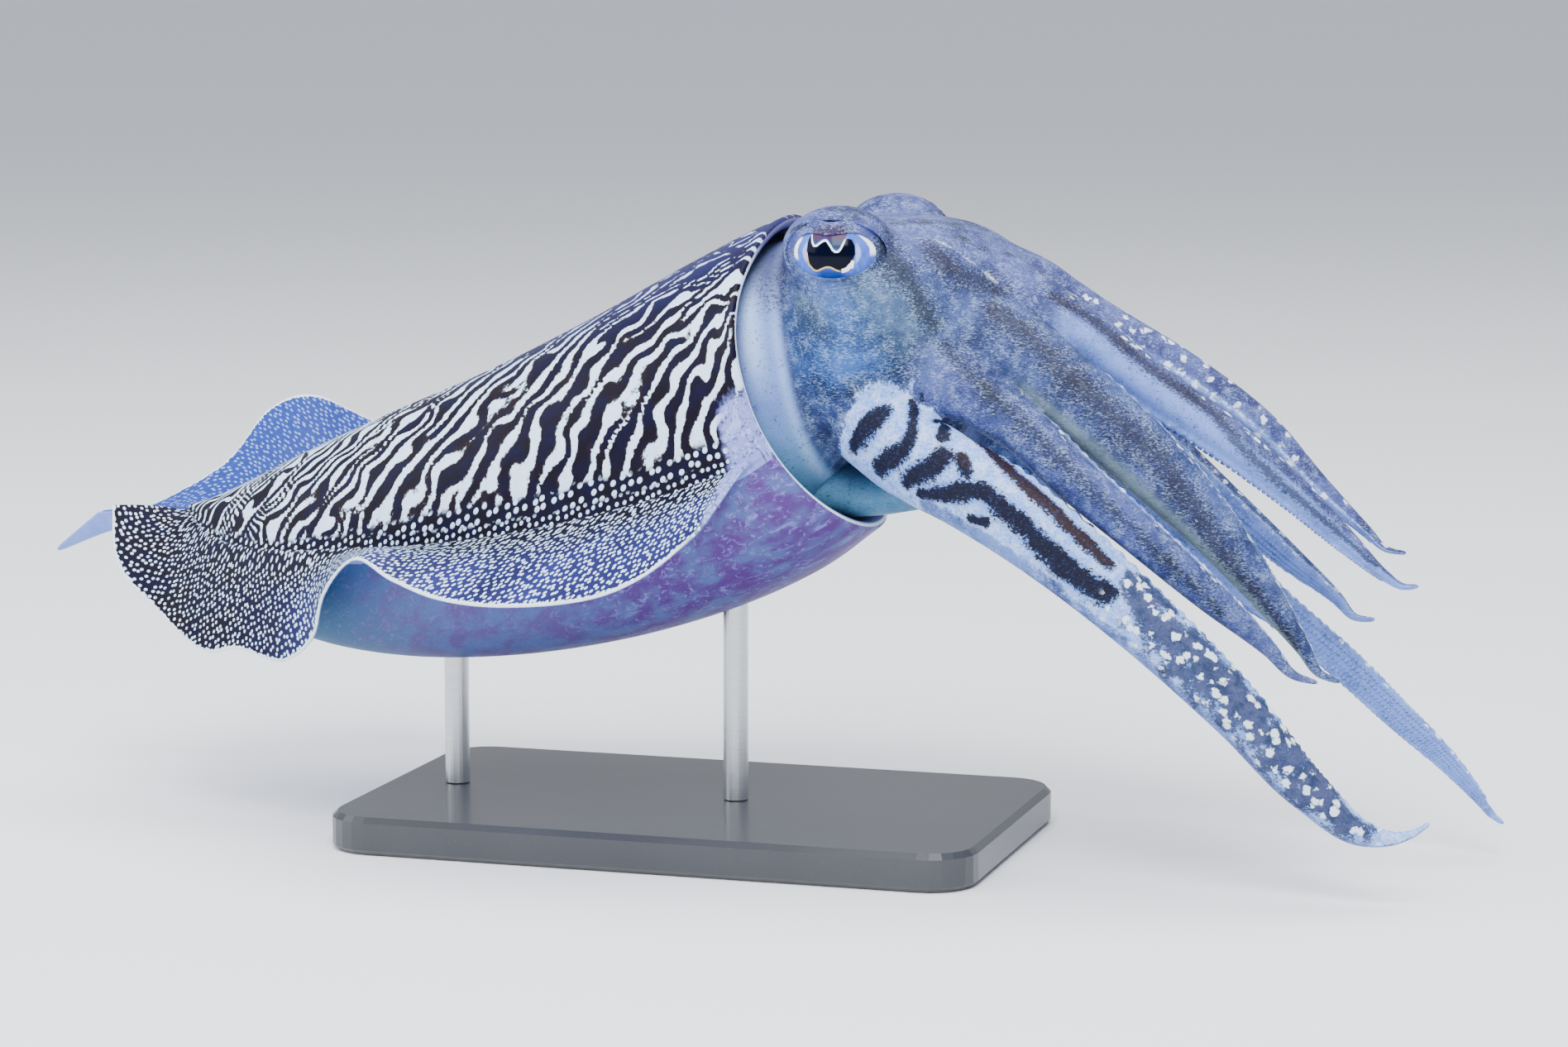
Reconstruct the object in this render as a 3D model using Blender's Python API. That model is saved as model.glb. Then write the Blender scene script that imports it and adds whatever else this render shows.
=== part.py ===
"""Common cuttlefish, life-size display model, swimming with its arms let down, on a plain stand.

The sizes are in millimetres in the animal's own frame: +X from tail to head, +Y to its left, +Z up,
with X = 0 at the hind end of the mantle. The finished objects are in metres, moved so that the middle
of the underside of the whole model's box is the origin.
"""
import random

import bmesh
import bpy
import numpy as np
from mathutils import Matrix, Vector

MM = 0.001
GAP = 0.3

# Mantle: (station, top x, top z, bottom x, bottom z, half width), from the tail to the front rim.
MANTLE = [
    (0, 0, 2.5, 0.5, -3, 3),
    (1, 8, 5, 9, -14, 12),
    (2, 20, 10.5, 22, -26, 21),
    (3, 40, 20.5, 43, -35.5, 31.5),
    (4, 66, 32.5, 72, -39, 39.5),
    (5, 97, 46, 106, -37, 46.5),
    (6, 128, 61.5, 140, -30.5, 50.5),
    (7, 156, 77, 171, -20.5, 51.5),
    (8, 175, 87, 195, -9, 49),
    (9, 186, 92, 212, 3.5, 45.5),
]
MANTLE_SIDES = 32
MANTLE_RINGS = 24
MANTLE_FULLNESS = 0.9
RIM_SETBACK = 13.5
SETBACK_STATIONS = 2.2
# Rim: (inset, forward) across its rounded edge, then the recess behind it.
RIM_PROFILE = [(1.0, 0.9), (2.4, 0.7), (3.2, -0.8)]
RECESS_DEPTH = 19.0
RECESS_WALL = 4.5
TAIL_ROUNDING = 1.5
TAIL_INSET = 1.2
TAIL_CROWDING = 1.15

# Fins: where the root runs on the mantle, as (station, degrees round from the top).
FIN_ROOT = [(0, 88), (4, 92), (6, 99), (8, 107), (9, 112)]
FIN_FRONT_STATION = 8.45
FIN_ROOT_THICKNESS = 4.2
FIN_EDGE_THICKNESS = 0.9
FIN_STATIONS = 38
FIN_LANES = 4
FIN_BOW = 0.06
FIN_GAP = 0.45
# Fin edges: (root station, edge x, edge y, edge z), from the tail forwards.
FIN_EDGE_RIGHT = [
    (0.0, -21.4, -9, 2.1),
    (0.35, -17, -17, -12),
    (0.9, 0.7, -24, -27),
    (1.6, 17.9, -31, -36),
    (2.2, 30, -35, -34),
    (2.9, 48.4, -41, -35.5),
    (3.35, 59, -47, -27),
    (3.75, 66, -56, -14),
    (4.3, 79.5, -66, -1.6),
    (4.9, 93, -71, -6),
    (5.4, 106, -73, -10),
    (6.2, 131, -75, -11),
    (7.0, 158, -75, -6),
    (7.7, 175, -70.5, 5),
    (8.2, 184, -63, 16),
    (8.45, 187.5, -52, 25.5),
]
FIN_EDGE_LEFT = [
    (0.0, -33, 5, -2),
    (0.3, -49, 9, -14.5),
    (0.7, -27, 20, -4),
    (1.3, -3, 27, 10),
    (2.0, 9, 38, 27),
    (2.6, 21, 43, 31),
    (3.2, 35, 50, 24),
    (3.8, 56, 60, 12),
    (4.4, 74, 67, -2),
    (5.0, 92, 72, -8),
    (5.6, 112, 75, -5),
    (6.3, 134, 76, -9),
    (7.0, 158, 75, -5),
    (7.7, 175, 70, 5),
    (8.2, 184, 63, 16),
    (8.45, 187.5, 52, 25.5),
]

# Head: as the mantle, from the neck to the face of the arm crown.
HEAD = [
    (0, 190, 86.5, 203, 23, 35),
    (1, 200, 90, 211, 27, 38),
    (2, 212, 91.5, 219, 28.5, 39),
    (3, 225, 92, 225, 28.5, 37),
    (4, 239, 90, 230, 27, 34),
    (5, 251, 83.5, 234, 25, 30),
    (6, 260, 73, 238, 24, 26),
]
HEAD_SIDES = 26
HEAD_RINGS = 12
HEAD_FULLNESS = 0.76
NECK_FULLNESS = 0.92
FULL_HEAD_STATION = 1.6
NECK_INSET = 6.0
NECK_RINGS = 4

# Eyes: on the right side; the left ones mirror them.
EYE_CENTRE = (209.5, -29.5, 84.0)
EYE_RADII = (13.5, 12.8, 11.4)
EYE_DOME = (16.0, 14.3, 13.0)
EYE_SWELLING = 6.0
SWELLING_REACH = 15.0
SWELLING_MIDDLE = (211.0, -37.0, 82.0)
SWELLING_ORIGIN = (211.0, -12.0, 68.0)
EYE_SIDES = 20
EYE_RINGS = 12
EYE_OPENING = (11.6, 8.0)
LID_RADIUS = 1.3
LID_LIFT = 1.6
LID_STATIONS = 11
LID_STEP = 3.5
LID_SIDES = 5
LID_MARGIN = 0.4

# Funnel: (x, y, z, half width, half depth) along its middle, from inside the neck to its mouth.
FUNNEL = [(197, -1, 15, 13.5, 8.5), (206, -3, 14.6, 12, 7.4), (215, -5, 15, 10, 6.6), (227, -7, 16, 7, 5.2)]
FUNNEL_CUT = 10.0
FUNNEL_SIDES = 16
FUNNEL_STEP = 5.0
FUNNEL_BORE = 0.62
FUNNEL_BORE_DEPTH = 9.0

# Mouth: the cone of lips in the middle of the arms, and the beak in it.
# Both are turned profiles of (distance out from the head's face, radius).
BEAK_RADIUS = 3.4
BEAK_START = 4.8
MOUTH_PROFILE = [(GAP, 8.0), (5.0, 7.5), (7.6, 6.6), (9.0, 5.2), (8.1, BEAK_RADIUS + GAP),
                 (BEAK_START - GAP, BEAK_RADIUS + GAP)]
BEAK_PROFILE = [(BEAK_START, BEAK_RADIUS), (7.3, 3.1), (9.2, 1.7), (10.3, 0.55)]
MOUTH_SIDES = 20
BEAK_SIDES = 12

# Arms: (x, y, z, half width, half depth) along the middle, from inside the head to the tip.
# "back" points away from the suckers, "cut" is where the arm leaves the head's solid and
# "split" where its second length starts, both in millimetres along the arm.
ARMS = {
    "r1": dict(
        path=[(228, -10, 80, 8, 6), (251, -10.5, 74.5, 9, 7.5), (273, -11, 61.5, 8.4, 7),
              (293, -12, 47.5, 7.4, 6.5), (314, -14, 34.6, 6.5, 5.5), (332.3, -14, 21, 5, 4.5),
              (348.1, -12, 6.8, 3.2, 3), (365.4, -9, -5.2, 0.9, 0.8)],
        back=(0.45, -0.35, 0.8), cut=50, split=100),
    "r2": dict(
        path=[(226, -19, 70, 9, 7), (251, -22, 62, 10, 8), (274.5, -25.5, 46.3, 10.4, 6.8),
              (297, -25.5, 27.5, 9.4, 6.2), (315, -25, 9.5, 7, 5), (328.5, -23, -7.5, 4.4, 3.6),
              (344.9, -18, -29.7, 0.9, 0.8)],
        back=(0.0, -0.98, 0.2), cut=46, split=98),
    "r3": dict(
        path=[(222, -22, 57, 8, 7), (240, -30, 50, 8.5, 7), (262.4, -34, 37.8, 7, 5.5),
              (277, -37, 25.8, 6.5, 5), (296, -37.5, 10.5, 5.6, 4.6), (315, -34, -6, 4.4, 4),
              (340.4, -22, -30, 0.9, 0.8)],
        back=(-0.1, -0.98, -0.05), cut=42, split=92),
    "r4": dict(
        path=[(213, -26, 38, 10, 8), (231, -33, 29.5, 13, 8.5), (247, -39, 23, 12.5, 7.8),
              (267, -43, 12, 11.6, 7), (295.5, -44, -9.5, 9.4, 6.6), (324.6, -43, -35.8, 7.6, 5.6),
              (343.7, -40, -56.8, 5.6, 4.6), (358.2, -38, -67.6, 3.6, 3), (373.8, -36, -65.7, 0.8, 0.8)],
        back=(-0.15, -0.95, -0.25), cut=36, split=104),
    "l1": dict(
        path=[(230, 9, 82, 8, 6), (252, 9, 74.5, 9, 7.5), (274, 9, 62, 8.5, 7), (299, 10, 48.5, 6.8, 6),
              (320, 11, 34, 5.4, 5), (334.8, 11, 19.6, 3.8, 3.6), (359.1, 8, 0.4, 0.9, 0.8)],
        back=(0.45, 0.35, 0.8), cut=48, split=96),
    "l2": dict(
        path=[(227, 19, 70, 9, 7), (250, 22, 59, 9.5, 7.5), (270, 25, 41, 8.5, 7), (289, 27, 26, 6.5, 5.5),
              (306.4, 26.5, 12, 5, 4.5), (325.6, 25, -3.4, 3.6, 3.2), (348.8, 20, -19.7, 0.9, 0.8)],
        back=(0.1, 0.9, 0.45), cut=46, split=92),
    "l3": dict(
        path=[(222, 22, 57, 8, 7), (238, 31, 48.5, 8.5, 7), (256, 41.5, 32, 7.5, 6),
              (274, 47.5, 13.5, 6.5, 5.5), (292, 49, -4, 5.5, 4.8), (308, 48, -17.5, 3.6, 3.2),
              (321, 44, -27, 0.9, 0.8)],
        back=(-0.1, 0.98, -0.05), cut=44, split=88),
    "l4": dict(
        path=[(214, 25, 38, 10, 8), (233, 27.5, 29, 12, 8), (258, 27, 20, 9.6, 6.8), (286.4, 29, 8, 7.6, 6),
              (305.7, 31, -6, 6, 5.4), (324.3, 31, -21, 5.2, 5), (341.3, 32, -34.8, 4.8, 4.4),
              (355.7, 33, -48, 4.2, 3.8), (370.6, 34, -61.5, 3, 2.7), (385.3, 32, -76.1, 0.8, 0.7)],
        back=(-0.15, 0.95, -0.25), cut=36, split=104),
}
ARM_SIDES = 10
ARM_STEP = 9.0
ARM_ORAL_FLATTENING = 0.82
ARM_FULLNESS = 0.85
ARM_ROOT_ROUNDING = 4.2
ARM_ROOT_SHARE = 0.62

# Suckers: cups in two rows along the flat side of each arm.
SUCKER_SHARE = 0.22
SUCKER_RADII = (0.85, 1.9)
SUCKER_SPACING = 3.9
SUCKER_ROW = 0.42
SUCKER_TILT = 0.3
SUCKER_HEIGHT = 0.75
SUCKER_ROOT = 0.6
SUCKER_NECK = 0.72
SUCKER_DIMPLE = 0.5
SUCKER_SIDES = 6
SUCKER_VARIATION = 0.1

# Stand: a flat base and two rods up into the belly.
BASE_SIZE = (190.0, 112.0, 11.0)
BASE_MIDDLE_X = 158.0
BASE_CORNER = 14.0
BASE_BEVEL = 1.6
FLOOR_Z = -88.0
ROD_RADIUS = 3.6
ROD_PLACES = [(84.0, -39.0), (170.0, -18.5)]
ROD_DEPTH = 11.0
ROD_SIDES = 24

# Colours, roughness and metallic value of each kind of sub-part.
FINISHES = {
    "mantle": ((0.16, 0.14, 0.24, 1), 0.42, 0),
    "fin": ((0.38, 0.4, 0.6, 1), 0.4, 0),
    "head": ((0.36, 0.34, 0.5, 1), 0.45, 0),
    "neck": ((0.55, 0.62, 0.72, 1), 0.4, 0),
    "arm": ((0.48, 0.46, 0.62, 1), 0.42, 0),
    "eye": ((0.02, 0.02, 0.03, 1), 0.08, 0),
    "beak": ((0.05, 0.025, 0.015, 1), 0.3, 0),
    "base": ((0.07, 0.075, 0.085, 1), 0.5, 0),
    "rod": ((0.62, 0.63, 0.65, 1), 0.28, 1),
}


def through(knots, places):
    """Values at the given places of a smooth curve through (place, value, ...) knots."""
    table = np.array(knots, dtype=float)
    knot, value = table[:, 0], table[:, 1:]
    slope = np.gradient(value, knot, axis=0)
    places = np.clip(np.asarray(places, dtype=float), knot[0], knot[-1])
    low = np.clip(np.searchsorted(knot, places, side="right") - 1, 0, len(knot) - 2)
    span = (knot[low + 1] - knot[low])[:, None]
    t = (places - knot[low])[:, None] / span
    start = (1 + 2 * t) * (1 - t) ** 2 * value[low] + t * (1 - t) ** 2 * span * slope[low]
    finish = t * t * (3 - 2 * t) * value[low + 1] + t * t * (t - 1) * span * slope[low + 1]
    return start + finish


def full(value, fullness):
    """A sine or cosine made squarer, sign kept, so that an oval gets fuller corners."""
    return np.sign(value) * np.abs(value) ** fullness


def unit(vectors):
    """The vectors at length one, along the last axis."""
    vectors = np.asarray(vectors, dtype=float)
    return vectors / np.linalg.norm(vectors, axis=-1, keepdims=True)


def body_rings(knots, stations, degrees, fullness):
    """Points of a body on ovals between its top and bottom lines: stations by angles by xyz."""
    top_x, top_z, low_x, low_z, half = through(knots, stations).T[:, :, None]
    lift = full(np.cos(np.radians(degrees)), fullness)
    side = full(np.sin(np.radians(degrees)), fullness)
    x = (top_x + low_x) / 2 + lift * (top_x - low_x) / 2
    z = (top_z + low_z) / 2 + lift * (top_z - low_z) / 2
    y = np.broadcast_to(-side * half, x.shape)
    return np.stack([x, y, z], axis=-1)


def turn(sides):
    """Even angles once round, in degrees, without the last."""
    return np.arange(sides) * 360.0 / sides


def section_frame(knots, station):
    """Middle, half height, upward and forward unit directions and half width of one oval."""
    top_x, top_z, low_x, low_z, half = through(knots, [station])[0]
    middle = np.array([(top_x + low_x) / 2, 0, (top_z + low_z) / 2])
    rise = np.array([top_x - low_x, 0, top_z - low_z])
    up = unit(rise)
    return middle, np.linalg.norm(rise) / 2, up, np.array([up[2], 0, -up[0]]), half


def oval(knots, station, inset, forward, sides, fullness):
    """One oval of a body, drawn in by an inset and moved along its own forward direction."""
    middle, height, up, ahead, half = section_frame(knots, station)
    angles = np.radians(turn(sides))
    lift = full(np.cos(angles), fullness)[:, None] * (height - inset)
    side = full(np.sin(angles), fullness)[:, None] * (half - inset)
    return middle + forward * ahead + lift * up - side * np.array([0, 1, 0])


def rim_setback(degrees, station):
    """How far the front of the mantle is drawn back at its sides, growing over the last stations."""
    growth = np.clip(1 - (MANTLE[-1][0] - np.asarray(station)) / SETBACK_STATIONS, 0, 1) ** 1.5
    return growth * RIM_SETBACK * np.sin(np.radians(degrees)) ** 2


def mantle_surface(stations, degrees):
    """Points of the outside of the mantle, with its rim drawn back at the sides."""
    points = body_rings(MANTLE, stations, degrees, MANTLE_FULLNESS)
    points[..., 0] -= rim_setback(degrees, np.asarray(stations)[:, None])
    return points


def head_surface(stations, degrees):
    """Points of the head: ovals that grow squarer from the neck on, swollen round the eyes."""
    stations = np.asarray(stations, dtype=float)[:, None]
    growth = np.clip(stations / FULL_HEAD_STATION, 0, 1)
    fullness = NECK_FULLNESS + (HEAD_FULLNESS - NECK_FULLNESS) * growth
    points = body_rings(HEAD, stations[:, 0], degrees, fullness)
    swollen = points.copy()
    for side in (1, -1):
        mirror = np.array([1, side, 1])
        far = np.linalg.norm(points - mirror * SWELLING_MIDDLE, axis=-1, keepdims=True) / SWELLING_REACH
        amount = EYE_SWELLING * growth[..., None] * np.exp(-0.5 * far ** 2)
        swollen += amount * unit(points - mirror * SWELLING_ORIGIN)
    return swollen


def skin(name, rings, finish):
    """An object whose surface joins ring to ring, with flat ends."""
    mesh = bpy.data.meshes.new(name)
    shell = bmesh.new()
    rows = [[shell.verts.new(point * MM) for point in ring] for ring in rings]
    for row, following in zip(rows, rows[1:]):
        for i in range(len(row)):
            j = (i + 1) % len(row)
            shell.faces.new((row[i], row[j], following[j], following[i]))
    shell.faces.new(rows[0][::-1])
    shell.faces.new(rows[-1])
    bmesh.ops.recalc_face_normals(shell, faces=shell.faces)
    shell.to_mesh(mesh)
    shell.free()
    return finished(name, mesh, finish)


def finished(name, mesh, finish):
    """Put a mesh in the scene as a named object with its own material, shaded smooth."""
    thing = bpy.data.objects.new(name, mesh)
    bpy.context.scene.collection.objects.link(thing)
    colour, roughness, metallic = FINISHES[finish]
    material = bpy.data.materials.new(name)
    material.use_nodes = True
    shader = material.node_tree.nodes["Principled BSDF"]
    shader.inputs["Base Color"].default_value = colour
    shader.inputs["Roughness"].default_value = roughness
    shader.inputs["Metallic"].default_value = metallic
    mesh.materials.clear()
    mesh.materials.append(material)
    mesh.shade_smooth()
    mesh.set_sharp_from_angle(angle=np.radians(50))
    return thing


def apply_modifiers(thing):
    """Turn the object's modifiers into its mesh."""
    depsgraph = bpy.context.evaluated_depsgraph_get()
    mesh = bpy.data.meshes.new_from_object(thing.evaluated_get(depsgraph))
    thing.modifiers.clear()
    thing.data = mesh


def combine(thing, pieces, operation, solver="EXACT"):
    """Join closed pieces to an object, or cut them from it, in one step, and remove them."""
    group = bpy.data.collections.new(thing.name + " pieces")
    bpy.context.scene.collection.children.link(group)
    for piece in pieces:
        group.objects.link(piece)
    cut = thing.modifiers.new("Boolean", "BOOLEAN")
    cut.operation = operation
    cut.solver = solver
    cut.operand_type = "COLLECTION"
    cut.collection = group
    bpy.context.view_layer.update()
    apply_modifiers(thing)
    for piece in pieces:
        bpy.data.objects.remove(piece)
    bpy.data.collections.remove(group)
    keep_largest(thing)


def keep_largest(thing):
    """Keep only the object's largest closed surface, by its number of faces."""
    shell = bmesh.new()
    shell.from_mesh(thing.data)
    bmesh.ops.remove_doubles(shell, verts=shell.verts, dist=0.00002)
    bmesh.ops.dissolve_degenerate(shell, edges=shell.edges, dist=0.00002)
    left = set(shell.faces)
    islands = []
    while left:
        seed = left.pop()
        island, front = [seed], [seed]
        while front:
            for edge in front.pop().edges:
                for face in edge.link_faces:
                    if face in left:
                        left.remove(face)
                        island.append(face)
                        front.append(face)
        islands.append(island)
    islands.sort(key=len)
    for island in islands[:-1]:
        bmesh.ops.delete(shell, geom=island, context="FACES")
    loose = [vertex for vertex in shell.verts if not vertex.link_faces]
    bmesh.ops.delete(shell, geom=loose, context="VERTS")
    shell.to_mesh(thing.data)
    shell.free()
    thing.data.shade_smooth()
    thing.data.set_sharp_from_angle(angle=np.radians(50))


def ball(name, centre, radii, finish, across=EYE_SIDES, rings=EYE_RINGS):
    """An ellipsoid with its poles up and down."""
    rows = []
    for k in range(1, rings):
        slope = np.pi * k / rings
        angles = np.radians(turn(across))
        rows.append(np.stack([centre[0] + radii[0] * np.sin(slope) * np.cos(angles),
                              centre[1] + radii[1] * np.sin(slope) * np.sin(angles),
                              np.full(across, centre[2] + radii[2] * np.cos(slope))], axis=-1))
    mesh = bpy.data.meshes.new(name)
    shell = bmesh.new()
    rows = [[shell.verts.new(point * MM) for point in row] for row in rows]
    poles = [shell.verts.new(np.array([centre[0], centre[1], centre[2] + side * radii[2]]) * MM)
             for side in (1, -1)]
    for row, following in zip(rows, rows[1:]):
        for i in range(across):
            j = (i + 1) % across
            shell.faces.new((row[i], row[j], following[j], following[i]))
    for i in range(across):
        j = (i + 1) % across
        shell.faces.new((rows[0][j], rows[0][i], poles[0]))
        shell.faces.new((rows[-1][i], rows[-1][j], poles[1]))
    bmesh.ops.recalc_face_normals(shell, faces=shell.faces)
    shell.to_mesh(mesh)
    shell.free()
    return finished(name, mesh, finish)


class Path:
    """A smooth curved middle line with a half width and half depth, and which side is the back."""

    def __init__(self, knots, back):
        table = np.array(knots, dtype=float)
        chord = np.concatenate([[0], np.cumsum(np.linalg.norm(np.diff(table[:, :3], axis=0), axis=1))])
        self.knots = np.column_stack([chord, table])
        self.length = chord[-1]
        self.back = unit(back)

    def frame(self, distances):
        """Middle points, half sizes and the along, back and side directions at distances."""
        values = through(self.knots, distances)
        step = 0.5
        along = unit(through(self.knots, np.asarray(distances) + step)[:, :3]
                     - through(self.knots, np.asarray(distances) - step)[:, :3])
        back = unit(self.back - (along @ self.back)[:, None] * along)
        return values[:, :3], values[:, 3:], along, back, np.cross(along, back)

    def rings(self, distances, sides=ARM_SIDES):
        """Cross-sections of the arm, square to its path, a little flatter on the sucker side."""
        middle, half, _, back, side = self.frame(distances)
        angles = np.radians(turn(sides) + 180.0 / sides)
        lift = full(np.cos(angles), ARM_FULLNESS)
        lift = np.where(lift < 0, lift * ARM_ORAL_FLATTENING, lift)
        across = full(np.sin(angles), ARM_FULLNESS)
        return (middle[:, None] + half[:, None, 1:2] * lift[:, None] * back[:, None]
                + half[:, None, 0:1] * across[:, None] * side[:, None])


def steps(start, finish, size):
    """Even distances from start to finish, about a size apart."""
    return np.linspace(start, finish, max(2, int(round((finish - start) / size)) + 1))


def make_mantle(rod_tops):
    """The mantle with its rounded rim, the shallow recess round the neck and the rod holes."""
    degrees = turn(MANTLE_SIDES)
    last = MANTLE[-1][0]
    rings = list(mantle_surface(last * np.linspace(0, 1, MANTLE_RINGS) ** TAIL_CROWDING, degrees))
    tail = oval(MANTLE, 0, TAIL_INSET, -TAIL_ROUNDING, MANTLE_SIDES, MANTLE_FULLNESS)
    setback = np.stack([rim_setback(degrees, last), 0 * degrees, 0 * degrees], axis=-1)
    lips = [oval(MANTLE, last, inset, ahead, MANTLE_SIDES, MANTLE_FULLNESS) - setback
            for inset, ahead in RIM_PROFILE]
    floor = oval(MANTLE, last, RECESS_WALL, -RECESS_DEPTH, MANTLE_SIDES, MANTLE_FULLNESS)
    mantle = skin("mantle", [tail] + rings + lips + [floor], "mantle")
    holes = [rod("hole", x, low - 2 * ROD_DEPTH, top + GAP, ROD_RADIUS + GAP) for x, low, top in rod_tops]
    combine(mantle, holes, "DIFFERENCE")
    return mantle


def clear_of_mantle(points, stand_off):
    """Points moved out from the middle of the mantle's sections until they stand off from its surface."""
    stations = np.linspace(0, MANTLE[-1][0], 361)
    frames = [section_frame(MANTLE, station) for station in stations]
    middle = np.array([frame[0] for frame in frames])
    height = np.array([frame[1] for frame in frames])
    up = np.array([frame[2] for frame in frames])
    ahead = np.array([frame[3] for frame in frames])
    half = np.array([frame[4] for frame in frames])
    flat = np.asarray(points, dtype=float).reshape(-1, 3)
    setback = np.zeros(len(flat))
    for _ in range(4):
        moved = flat + setback[:, None] * np.array([1, 0, 0])
        off = np.abs(np.einsum("psk,sk->ps", moved[:, None] - middle, ahead))
        at = off.argmin(axis=1)
        away = moved - middle[at]
        rise = np.einsum("pk,pk->p", away, up[at])
        degrees = np.degrees(np.arctan2(away[:, 1], rise))
        setback = rim_setback(degrees, stations[at])
    reach = np.hypot(rise, away[:, 1])
    power = 2 / MANTLE_FULLNESS
    shape = (np.abs(rise / reach) / height[at]) ** power + (np.abs(away[:, 1] / reach) / half[at]) ** power
    wanted = shape ** (-1 / power) + stand_off
    growth = np.maximum(wanted / reach, 1) - 1
    flat = flat + growth[:, None] * (rise[:, None] * up[at] + away[:, 1:2] * np.array([0, 1, 0]))
    return flat.reshape(np.shape(points))


def fin_faces(edge, side):
    """Upper and lower face of a fin, as points by station and by lane from root to edge."""
    stations = np.linspace(0, FIN_FRONT_STATION, FIN_STATIONS)
    angle = through(FIN_ROOT, stations)[:, 0]
    root = np.array([mantle_surface([station], [degrees])[0, 0] for station, degrees in zip(stations, angle)])
    root[:, 1] *= -side
    rim = through(edge, stations)
    out = unit(rim - root)
    ahead = unit(np.gradient(rim + root, axis=0))
    normal = unit(np.cross(ahead, out) * side)
    lanes = np.linspace(0, 1, FIN_LANES + 1)
    bow = FIN_BOW * np.linalg.norm(rim - root, axis=1)
    middle = (root[:, None] + lanes[:, None] * (rim - root)[:, None]
              + (np.sin(np.pi * lanes)[:, None] * bow[:, None, None]) * normal[:, None])
    growth = np.linspace(0, 1, FIN_STATIONS)
    ends = np.clip(np.minimum(growth, 1 - growth) * 12 + 0.35, 0, 1)
    thick = FIN_ROOT_THICKNESS + (FIN_EDGE_THICKNESS - FIN_ROOT_THICKNESS) * lanes ** 0.7
    half = 0.5 * np.maximum(thick * ends[:, None], FIN_EDGE_THICKNESS)[..., None]
    low = clear_of_mantle(middle - half * normal[:, None], FIN_GAP)
    top = clear_of_mantle(middle + half * normal[:, None], FIN_GAP)
    crowded = np.linalg.norm(top - low, axis=-1, keepdims=True) < 0.9 * 2 * half
    lift = np.where(crowded, low + 2 * half * normal[:, None], top)
    return np.where(np.arange(FIN_LANES + 1)[:, None] > 0, lift, top), low


def make_fin(name, edge, side):
    """A fin as two like faces of triangles, thick at its root and thin at its edge."""
    mesh = bpy.data.meshes.new(name)
    shell = bmesh.new()
    top, low = [[[shell.verts.new(point * MM) for point in row] for row in face]
                for face in fin_faces(edge, side)]
    last_row, last_lane = FIN_STATIONS - 1, FIN_LANES
    for i in range(last_row):
        for j in range(last_lane):
            for face in (top, low):
                shell.faces.new((face[i][j], face[i][j + 1], face[i + 1][j + 1]))
                shell.faces.new((face[i][j], face[i + 1][j + 1], face[i + 1][j]))
    border = ([(0, j) for j in range(last_lane)] + [(i, last_lane) for i in range(last_row)]
              + [(last_row, j) for j in range(last_lane, 0, -1)] + [(i, 0) for i in range(last_row, 0, -1)])
    for (a, b), (c, d) in zip(border, border[1:] + border[:1]):
        shell.faces.new((top[a][b], top[c][d], low[c][d]))
        shell.faces.new((top[a][b], low[c][d], low[a][b]))
    bmesh.ops.recalc_face_normals(shell, faces=shell.faces)
    shell.to_mesh(mesh)
    shell.free()
    return finished(name, mesh, "fin")


def make_neck():
    """The neck, from the floor of the mantle's recess to the back of the head."""
    first = oval(MANTLE, MANTLE[-1][0], NECK_INSET, GAP - RECESS_DEPTH, HEAD_SIDES, MANTLE_FULLNESS)
    last = oval(HEAD, 0, 0, -GAP, HEAD_SIDES, NECK_FULLNESS)
    share = np.linspace(0, 1, NECK_RINGS)[:, None, None]
    return skin("neck", first * (1 - share) + last * share, "neck")


def eye_opening(side):
    """A cutter through the lids: an oval tube from the middle of the eye outwards."""
    angles = np.radians(turn(EYE_SIDES))
    x = EYE_CENTRE[0] + EYE_OPENING[0] * np.cos(angles)
    z = EYE_CENTRE[2] + EYE_OPENING[1] * np.sin(angles)
    reach = -EYE_CENTRE[1] + np.array([0, 2 * EYE_RADII[1]])
    rings = [np.stack([x, np.full(EYE_SIDES, side * y), z], axis=-1) for y in reach]
    return skin("opening", rings, "head")


def lid(side, start, finish):
    """A rounded fold along one edge of the eye opening, between two angles in degrees."""
    angles = np.radians(np.linspace(start, finish, LID_STATIONS))
    across = (EYE_OPENING[0] + LID_MARGIN) * np.cos(angles)
    up = (EYE_OPENING[1] + LID_MARGIN) * np.sin(angles)
    bulge = 1 - (across / EYE_RADII[0]) ** 2 - (up / EYE_RADII[2]) ** 2
    reach = EYE_RADII[1] * np.sqrt(bulge) + LID_LIFT * (1 + 0.6 * np.abs(np.cos(angles)))
    size = LID_RADIUS * (0.55 + 0.45 * np.sin(np.linspace(0, np.pi, LID_STATIONS)))
    knots = [(EYE_CENTRE[0] + x, side * (-EYE_CENTRE[1] + y), EYE_CENTRE[2] + z, r, r)
             for x, y, z, r in zip(across, reach, up, size)]
    path = Path(knots, (0, side, 0))
    return skin("lid", path.rings(steps(0, path.length, LID_STEP), LID_SIDES), "head")


def arm_path(name):
    """The path of one arm."""
    return Path(ARMS[name]["path"], ARMS[name]["back"])


def arm_stub(name):
    """The root of an arm, from its rounded end inside the head to where the free arm begins."""
    path = arm_path(name)
    rings = list(path.rings(steps(0, ARMS[name]["cut"], ARM_STEP)))
    middle, _, along, _, _ = path.frame([0.0])
    shrunk = middle[0] + ARM_ROOT_SHARE * (rings[0] - middle[0]) - ARM_ROOT_ROUNDING * along[0]
    return skin("stub", [shrunk] + rings, "arm")


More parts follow.
